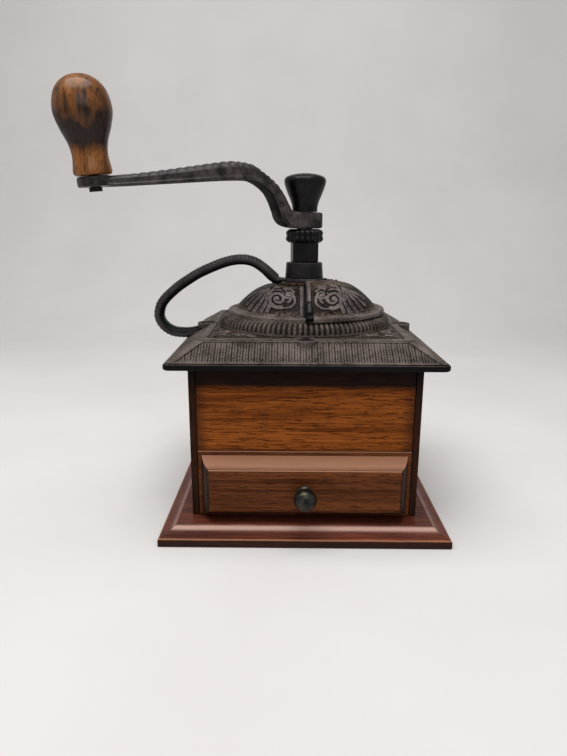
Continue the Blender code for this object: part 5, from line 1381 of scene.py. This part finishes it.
# %% Knob and collar
knob_shares = np.array([(0.0, 0.60), (0.15, 0.62), (0.30, 0.70), (0.43, 0.80), (0.57, 0.90), (0.70, 0.975),
                        (0.78, 1.0),
                        (0.84, 0.985), (0.90, 0.90), (0.955, 0.66), (0.985, 0.36), (1.0, 0.0)])
knob_curve = flowing(knob_shares, 8)
knob_line = np.concatenate([[(0.0, knob_low[2])], np.stack([
    np.clip(knob_curve[:, 1], 0.0, 1.0) * 12.4 * mm,
    knob_low[2] + np.clip(knob_curve[:, 0], 0.0, 1.0) * (knob_high[2] - knob_low[2])], -1)])
shaft_knob = turned_piece("shaft_knob", knob_line, 96, gloss_black, 50.0)
settle(shaft_knob, "spindle", "black_iron", "top_knob")

collar_line = softened([(neck_hole, collar_low[2]), (11.6 * mm, collar_low[2]),
                        (11.0 * mm, collar_high[2] - 0.5 * mm), (10.5 * mm, collar_high[2]),
                        (neck_hole, collar_high[2]), (neck_hole, collar_low[2])], 0.3 * mm, 4)[:-1]
shaft_collar = turned_piece("shaft_collar", collar_line, 96, collar_black, 50.0, ring=True)
settle(shaft_collar, "mill_body", "black_iron", "bearing_collar")

# %% Adjusting nut
nut_bottom, nut_top = nut_low[2], nut_high[2]
barrel_top = nut_bottom + 11.2 * mm
nut_steps = 360
nut_angle = full_turn * np.arange(nut_steps) / nut_steps
six_sided = 9.0 * mm * math.cos(math.pi / 6) / np.cos((nut_angle % (math.pi / 3)) - math.pi / 6)
six_sided = np.minimum(six_sided, 8.82 * mm)
lobes = np.abs(np.cos(9.0 * nut_angle)) ** 0.7
flange_rise = np.array([(0.0, 0.80), (0.05, 0.88), (0.13, 0.955), (0.24, 1.0), (0.36, 0.995), (0.46, 0.965),
                        (0.54, 0.965),
                        (0.64, 0.99), (0.76, 0.985), (0.87, 0.93), (0.95, 0.84), (1.0, 0.72)])
flange_rise = flowing(flange_rise, 4)
nut_rows = [np.full(nut_steps, shaft_hole), six_sided - 0.4 * mm, six_sided, six_sided, six_sided, six_sided]
nut_heights = [nut_bottom, nut_bottom, nut_bottom + 0.4 * mm, nut_bottom + 4.0 * mm, nut_bottom + 8.0 * mm,
               barrel_top]
nut_rows += [11.3 * mm * share - 0.95 * mm * (1.0 - lobes) * min(1.0,
                                                                 4.0 * t + 0.3) * (1.0 if t < 0.97 else 0.6)
             for t, share in flange_rise]
nut_heights += [barrel_top + t * (nut_top - barrel_top) for t, _ in flange_rise]
nut_rows.append(np.full(nut_steps, shaft_hole))
nut_heights.append(nut_top)
nut_radius = np.stack(nut_rows)
nut_points = np.stack([nut_radius * np.cos(nut_angle), nut_radius * np.sin(nut_angle),
                       np.array(nut_heights)[:, None] + 0.0 * nut_radius], -1)
nut_turn = math.radians(12.3) + crank_angle
beaded_nut = make_piece("beaded_nut", turned_about_z(nut_points, nut_turn),
                        grid_faces(len(nut_radius), nut_steps, True, True), gloss_black, 40.0)
settle(beaded_nut, "adjusting_nut", "black_iron", "adjusting_nut")

# %% [markdown]
# ## The carry handle
# The handle is a flat ring over the hub and a bent bar that comes down to the left slope. Fine notches run
# across its outer side, and its inner side is smooth, with painted shade on it. The notches are part of the
# sweep and not a bump, because they break up the bar's outline.

# %% Carry handle
handle_shares = np.array([
    (0.271, 0.883), (0.326, 0.958), (0.382, 0.996), (0.456, 1.0), (0.538, 0.965), (0.619, 0.905),
    (0.717, 0.817),
    (0.796, 0.722), (0.857, 0.641), (0.907, 0.559), (0.950, 0.478), (0.983, 0.388), (1.0, 0.269),
    (0.992, 0.172),
    (0.959, 0.082), (0.905, 0.020), (0.835, 0.002), (0.765, 0.012), (0.705, 0.050), (0.665, 0.105)])
handle_reach, handle_foot, handle_rise = 90.4 * mm, 104.5 * mm, 45.4 * mm
handle_thickness, handle_width, handle_eye_low = 6.2 * mm, 9.0 * mm, 137.2 * mm
bar = np.concatenate([
    [(10.7 * mm, handle_eye_low + 0.95 * mm, 0.31), (13.7 * mm, handle_eye_low + 1.0 * mm, 0.33),
     (15.8 * mm, handle_eye_low + 0.6 * mm, 0.80), (17.8 * mm, handle_eye_low + 1.5 * mm, 1.0),
     (20.2 * mm, handle_eye_low + 3.5 * mm, 1.05)],
    np.stack([handle_reach * handle_shares[:, 0], handle_foot + handle_rise * handle_shares[:, 1],
              np.ones(len(handle_shares))], -1)])
bar = flowing(bar, 20)
bar_travel = along(bar[:, :2])
bar_even = np.linspace(0.0, bar_travel[-1], 620)
bar_path = np.stack([-np.interp(bar_even, bar_travel, bar[:, 0]),
                     np.interp(bar_even, bar_travel, bar[:, 1])], -1)
bar_half = np.interp(bar_even, bar_travel, bar[:, 2]) * handle_thickness / 2
bar_section = rounded_loop([(0.50, -1.0), (0.95, -0.50), (1.0, 0.20), (0.80, 0.72), (0.36, 1.0), (-0.36, 1.0),
                            (-0.80, 0.72), (-1.0, 0.20), (-0.95, -0.50), (-0.50, -1.0)], 0.12, 3)
bar_slope = np.gradient(bar_path, axis=0)
bar_slope /= np.linalg.norm(bar_slope, axis=1, keepdims=True)
bar_out = np.stack([bar_slope[:, 1], -bar_slope[:, 0]], -1)
notch = 1.0 - np.abs(np.sin(np.pi * bar_even / (2.25 * mm))) ** 0.6
notch_zone = (smooth_step(bar_even, 16.0 * mm, 24.0 * mm) * (1.0 - smooth_step(bar_even, 118.0 * mm,
                                                                               124.0 * mm)))[:, None]
notch_cut = 0.42 * mm * notch[:, None] * notch_zone * smooth_step(bar_section[None, :, 1], 0.1, 0.8)
bar_reach = bar_section[None, :, 1] * bar_half[:, None] - notch_cut
bar_points = np.stack([bar_path[:, :1] + bar_out[:, :1] * bar_reach,
                       bar_section[None, :, 0] * handle_width / 2 + 0.0 * bar_reach,
                       bar_path[:, 1:] + bar_out[:, 1:] * bar_reach], -1)
# Darker notches, and painted shade on the inner, lower half of the bar's section.
bar_notches_and_shade = np.clip(notch_cut / (0.42 * mm), 0.0, 1.0) * 0.8 + smooth_step(-bar_section[None, :, 1], 0.1, 0.7)
bar_points = np.concatenate([bar_points[:1].mean(1, keepdims=True).repeat(len(bar_section), 1), bar_points,
                             bar_points[-1:].mean(1, keepdims=True).repeat(len(bar_section), 1)])
bar_notches_and_shade = np.concatenate([bar_notches_and_shade[:1], bar_notches_and_shade, bar_notches_and_shade[-1:]])
handle_bar = make_piece("handle_bar", bar_points,
                        grid_faces(len(bar_points), len(bar_section), False, True), handle_iron, 50.0,
                        hollow=np.clip(bar_notches_and_shade, 0.0, 1.0), dusty=0.0)
settle(handle_bar, "mill_body", "cast_iron", "carry_handle")

# %% Handle's eye
eye_radius, eye_top = 12.6 * mm, handle_eye_low + 1.9 * mm
eye_line = softened([(neck_hole, handle_eye_low), (eye_radius, handle_eye_low), (eye_radius, eye_top),
                     (neck_hole, eye_top), (neck_hole, handle_eye_low)], 0.35 * mm, 3)[:-1]
handle_eye = turned_piece("handle_eye", eye_line, 96, handle_iron, ring=True, hollow=0.0, dusty=0.0)
settle(handle_eye, "mill_body", "cast_iron")

# %% [markdown]
# ## The finger tab
# The black tab at the lid's front edge is pushed with a thumb. It hooks over the rim, follows the dome and
# ends in a rounded top, so its rings are carried up the dome's own curve.

# %% Finger tab
tab_face = rim_outer + fit_gap
tab_ledge = lid_rim_top + fit_gap
tab_bottom = lid_rim_top - 2.2 * mm
tab_thickness = 2.6 * mm
tab_shares = np.array([(0.0, 0.62), (0.10, 1.0), (0.35, 1.0), (0.60, 0.92), (0.80, 0.80), (0.92, 0.60),
                       (1.0, 0.22)])
tab_heights = tab_ledge + (9.6 * mm - 2.5 * mm) * tab_shares[:, 0]
tab_radius = np.array([dome_radius_at(height, -fit_gap) for height in tab_heights])
tab_rise = (tab_heights - shoulder_middle) / (shoulder_radius + fit_gap)
tab_run = tab_radius / (shoulder_radius + fit_gap)
tab_stations = np.concatenate([
    [(tab_face, tab_bottom, tab_thickness * 0.35, 0.0),
     (tab_face, tab_bottom + 0.8 * mm, tab_thickness * 0.62, 0.0),
     (tab_face, tab_ledge, tab_thickness * 0.75, tab_thickness * 0.2)],
    np.stack([tab_radius, tab_heights, tab_thickness * tab_shares[:, 1] * tab_run,
              tab_thickness * tab_shares[:, 1] * tab_rise], -1)])
tab_curve = flowing(tab_stations, 6)
tab_section = rounded_loop([(1.0, 0.0), (1.0, 0.55), (0.55, 1.0), (-0.55, 1.0), (-1.0, 0.55), (-1.0, 0.0)],
                           0.3, 4)
tab_side = 1.9 * mm * (1.0 - 0.22 * np.linspace(0.0, 1.0, len(tab_curve)) ** 3)[:, None]
tab_r = tab_curve[:, :1] + tab_curve[:, 2:3] * tab_section[None, :, 1]
tab_y = tab_side * tab_section[None, :, 0]
tab_z = tab_curve[:, 1:2] + tab_curve[:, 3:4] * tab_section[None, :, 1]
tab_points = np.stack([tab_r, tab_y, tab_z], -1)
tab_points = np.concatenate([tab_points[:1].mean(1, keepdims=True).repeat(len(tab_section), 1), tab_points,
                             tab_points[-1:].mean(1, keepdims=True).repeat(len(tab_section), 1)])
tab_turn = -math.pi / 2 + (1.9 * mm + 0.4 * mm) / rim_inner
finger_tab = make_piece("finger_tab", turned_about_z(tab_points, tab_turn),
                        grid_faces(len(tab_points), len(tab_section), False, True), gloss_black, 60.0)
settle(finger_tab, "lid", "black_iron", "lid_tab")

# %% [markdown]
# ## Mouldings in wood
# The base and the drawer front are boards whose edges a moulding plane has shaped. Each is a stack of
# rectangles: every row of the moulding is a rectangle a little further in, and the corners are mitred.
# A few extra columns close to each corner keep the shading crisp at the mitres.

# %% Moulding helper


def mitred_rows(halves, per_side=16):
    """Rectangles with points dense near the corners: side position = sin of an even angle, four sides."""
    halves = np.asarray(halves, float)
    run = np.sin(np.linspace(-math.pi / 2, math.pi / 2, per_side + 1))[:-1]
    run = np.concatenate([run[:1], [-0.998], run[1:], [0.998]])
    half_x, half_y = halves[:, :1], halves[:, 1:2]
    sides = [(half_x + 0.0 * run, half_y * run), (-half_x * run, half_y + 0.0 * run),
             (-half_x + 0.0 * run, -half_y * run), (half_x * run, -half_y + 0.0 * run)]
    return np.concatenate([x for x, _ in sides], 1), np.concatenate([y for _, y in sides], 1)


def moulding(shares, per_span=5):
    """A smooth line through the measured shares of a moulding."""
    line = flowing(shares, per_span)
    return np.stack([np.maximum.accumulate(np.clip(line[:, 0], 0.0, 1.0)), np.clip(line[:, 1], 0.0, 1.0)], -1)


# %% Base board
base_half = base_high[0]
base_edge, base_top = 4.7 * mm, base_high[2]
base_shares = moulding([(0.0, 0.0), (0.06, 0.07), (0.38, 0.26), (0.67, 0.53), (0.88, 0.83), (1.0, 1.0)])
base_line = np.concatenate([
    [(0.0, 0.0), (base_half - 0.5 * mm, 0.0), (base_half, 0.5 * mm), (base_half, base_edge - 0.7 * mm),
     (base_half - 0.12 * mm, base_edge - 0.25 * mm), (base_half - 0.4 * mm, base_edge)],
    np.stack([base_half - 0.4 * mm - 8.8 * mm * base_shares[1:, 0],
              base_edge + (base_top - base_edge) * base_shares[1:, 1]], -1),
    [(base_half - 10.0 * mm, base_top), (0.0, base_top)]])
base_x, base_y = mitred_rows(np.stack([base_line[:, 0], base_line[:, 0]], -1))
base_points = np.stack([base_x, base_y, base_line[:, 1:2] + 0.0 * base_x], -1)
moulded_base = make_piece("moulded_base", base_points,
                          grid_faces(len(base_points), base_x.shape[1], False, True), base_mahogany, 32.0)
settle(moulded_base, "mill_body", "base_wood", "base_board")

# %% [markdown]
# The drawer front is moulded on all four sides round a raised field. Its rows lie in the XZ plane, and
# each is pulled in by the same inset, but never past the middle of the shorter side.

# %% Drawer front
drawer_half_x = front_high[0]
drawer_middle = (front_low[2] + front_high[2]) / 2
drawer_half_z = (front_high[2] - front_low[2]) / 2
face = -60.25 * mm
border_out, field_out, field_in = 0.8 * mm, 11.4 * mm, 8.0 * mm
drawer_shares = moulding([(0.0, 0.0), (0.06, 0.10), (0.22, 0.42), (0.48, 0.74), (0.74, 0.90), (0.80, 0.91),
                          (0.86, 0.98), (1.0, 1.0)], 7)
drawer_line = np.concatenate([
    [(60.0 * mm, front_high[1] - face), (0.0, front_high[1] - face), (0.0, -border_out + 0.5 * mm),
     (0.12 * mm, -border_out + 0.12 * mm), (0.5 * mm, -border_out), (1.75 * mm, -border_out),
     (2.0 * mm, -border_out - 0.15 * mm)],
    np.stack([2.1 * mm + (field_in - 2.1 * mm) * drawer_shares[1:, 0],
              -border_out - (field_out - border_out) * drawer_shares[1:, 1]], -1),
    [(60.0 * mm, -field_out)]])
drawer_inset = np.minimum(drawer_line[:, :1], [[drawer_half_x, drawer_half_z]])
drawer_x, drawer_z = mitred_rows(np.array([[drawer_half_x, drawer_half_z]]) - drawer_inset)
drawer_points = np.stack([drawer_x, face + drawer_line[:, 1:2] + 0.0 * drawer_x, drawer_middle + drawer_z],
                         -1)
moulded_drawer = make_piece("moulded_drawer_front", drawer_points,
                            grid_faces(len(drawer_points), drawer_x.shape[1], False, True), drawer_oak, 32.0)
settle(moulded_drawer, "drawer", "drawer_wood", "drawer_front")

# %% [markdown]
# The knob is a small brass mushroom on a foot. It is turned upright and then tipped forwards.

# %% Drawer knob
button = np.array([(0.0, 0.0), (4.2, 0.0), (4.2, 0.8), (3.6, 1.3), (2.95, 2.2), (2.9, 3.6), (3.3, 4.6),
                   (4.6, 5.8), (5.8, 7.4), (6.2, 9.0), (5.9, 10.9), (4.9, 12.6), (3.2, 13.7), (1.4, 14.15),
                   (0.0, 14.2)]) * mm
button_line = np.concatenate([button[:3], flowing(button[2:], 6)[1:]])
button_line[:, 0] = np.maximum(button_line[:, 0], 0.0)
button_place = Matrix.Translation((0.0, front_low[1], 29.2 * mm)) @ Matrix.Rotation(math.pi / 2, 4, "X")
brass_button = turned_piece("brass_button", button_line, 80, knob_brass, 50.0, place=button_place)
settle(brass_button, "drawer", "old_brass", "drawer_knob")

# %% [markdown]
# ## Floor and light
# A pale floor that curves up into a pale wall, one large soft lamp above and a weak one in front. Large
# lamps give the soft edges that old iron and oiled wood show best; small ones would make hard glints. The
# world is dim for the lamps' sake, and brighter where the camera, a reflection or a clear thing looks past
# the floor.

# %% Stage and lamps
floor_half_width, floor_front, wall_distance, wall_height, bend_radius = 2.2, -1.6, 0.85, 2.6, 0.35
bend = np.linspace(0.0, math.pi / 2, 16)
stage_line = np.concatenate([
    [(floor_front, 0.0)],
    np.stack([wall_distance - bend_radius + bend_radius * np.sin(bend),
              bend_radius - bend_radius * np.cos(bend)], -1),
    [(wall_distance, wall_height)]])
stage_x = np.linspace(-floor_half_width, floor_half_width, 9)
stage_points = np.stack([stage_x[None, :] + 0.0 * stage_line[:, :1], stage_line[:, :1] + 0.0 * stage_x,
                         stage_line[:, 1:] + 0.0 * stage_x], -1)
stage_recipe = Recipe("stage_paper", roughness=0.9, specular=0.2)
paper = stage_recipe.noise(stage_recipe.place(), 6.0, 3.0)
stage_recipe.colour(stage_recipe.blend(stage_recipe.spread(paper, 0.3, 0.7), paint(222, 218, 216),
                                       paint(228, 225, 223)))
stage = make_piece("stage", stage_points, grid_faces(len(stage_line), len(stage_x)), stage_recipe.finish)


def soft_lamp(name, place, turn, size, power):
    """A rectangular area lamp at a place, turned by three angles in degrees, with a power in watts."""
    light = bpy.data.lights.new(name, "AREA")
    light.shape = "RECTANGLE"
    light.size, light.size_y = size
    light.energy = power
    lamp = bpy.data.objects.new(name, light)
    lamp.location = place
    lamp.rotation_euler = [math.radians(value) for value in turn]
    bpy.context.collection.objects.link(lamp)
    return lamp


soft_lamp("overhead_softbox", place=(-0.12, -0.22, 1.0), turn=(12.0, -7.0, 0.0), size=(1.0, 0.8), power=10.8)
soft_lamp("front_fill", place=(0.30, -1.2, 0.75), turn=(62.0, 0.0, 14.0), size=(1.0, 0.6), power=3.0)

# %% World
world = bpy.data.worlds.new("pale_room")
bpy.context.scene.world = world
world.use_nodes = True
background = world.node_tree.nodes["Background"]
background.inputs["Color"].default_value = paint(225, 226, 230)
ray = world.node_tree.nodes.new("ShaderNodeLightPath")
seen = world.node_tree.nodes.new("ShaderNodeMath")
seen.operation = "MAXIMUM"
also = world.node_tree.nodes.new("ShaderNodeMath")
also.operation = "MAXIMUM"
strength = world.node_tree.nodes.new("ShaderNodeMapRange")
strength.inputs["To Min"].default_value, strength.inputs["To Max"].default_value = 0.28, 0.75
world.node_tree.links.new(ray.outputs["Is Camera Ray"], seen.inputs[0])
world.node_tree.links.new(ray.outputs["Is Glossy Ray"], seen.inputs[1])
world.node_tree.links.new(seen.outputs[0], also.inputs[0])
world.node_tree.links.new(ray.outputs["Is Transmission Ray"], also.inputs[1])
world.node_tree.links.new(also.outputs[0], strength.inputs["Value"])
world.node_tree.links.new(strength.outputs["Result"], background.inputs["Strength"])
bpy.context.scene.view_settings.view_transform = "Standard"
print("stage and lamps set")
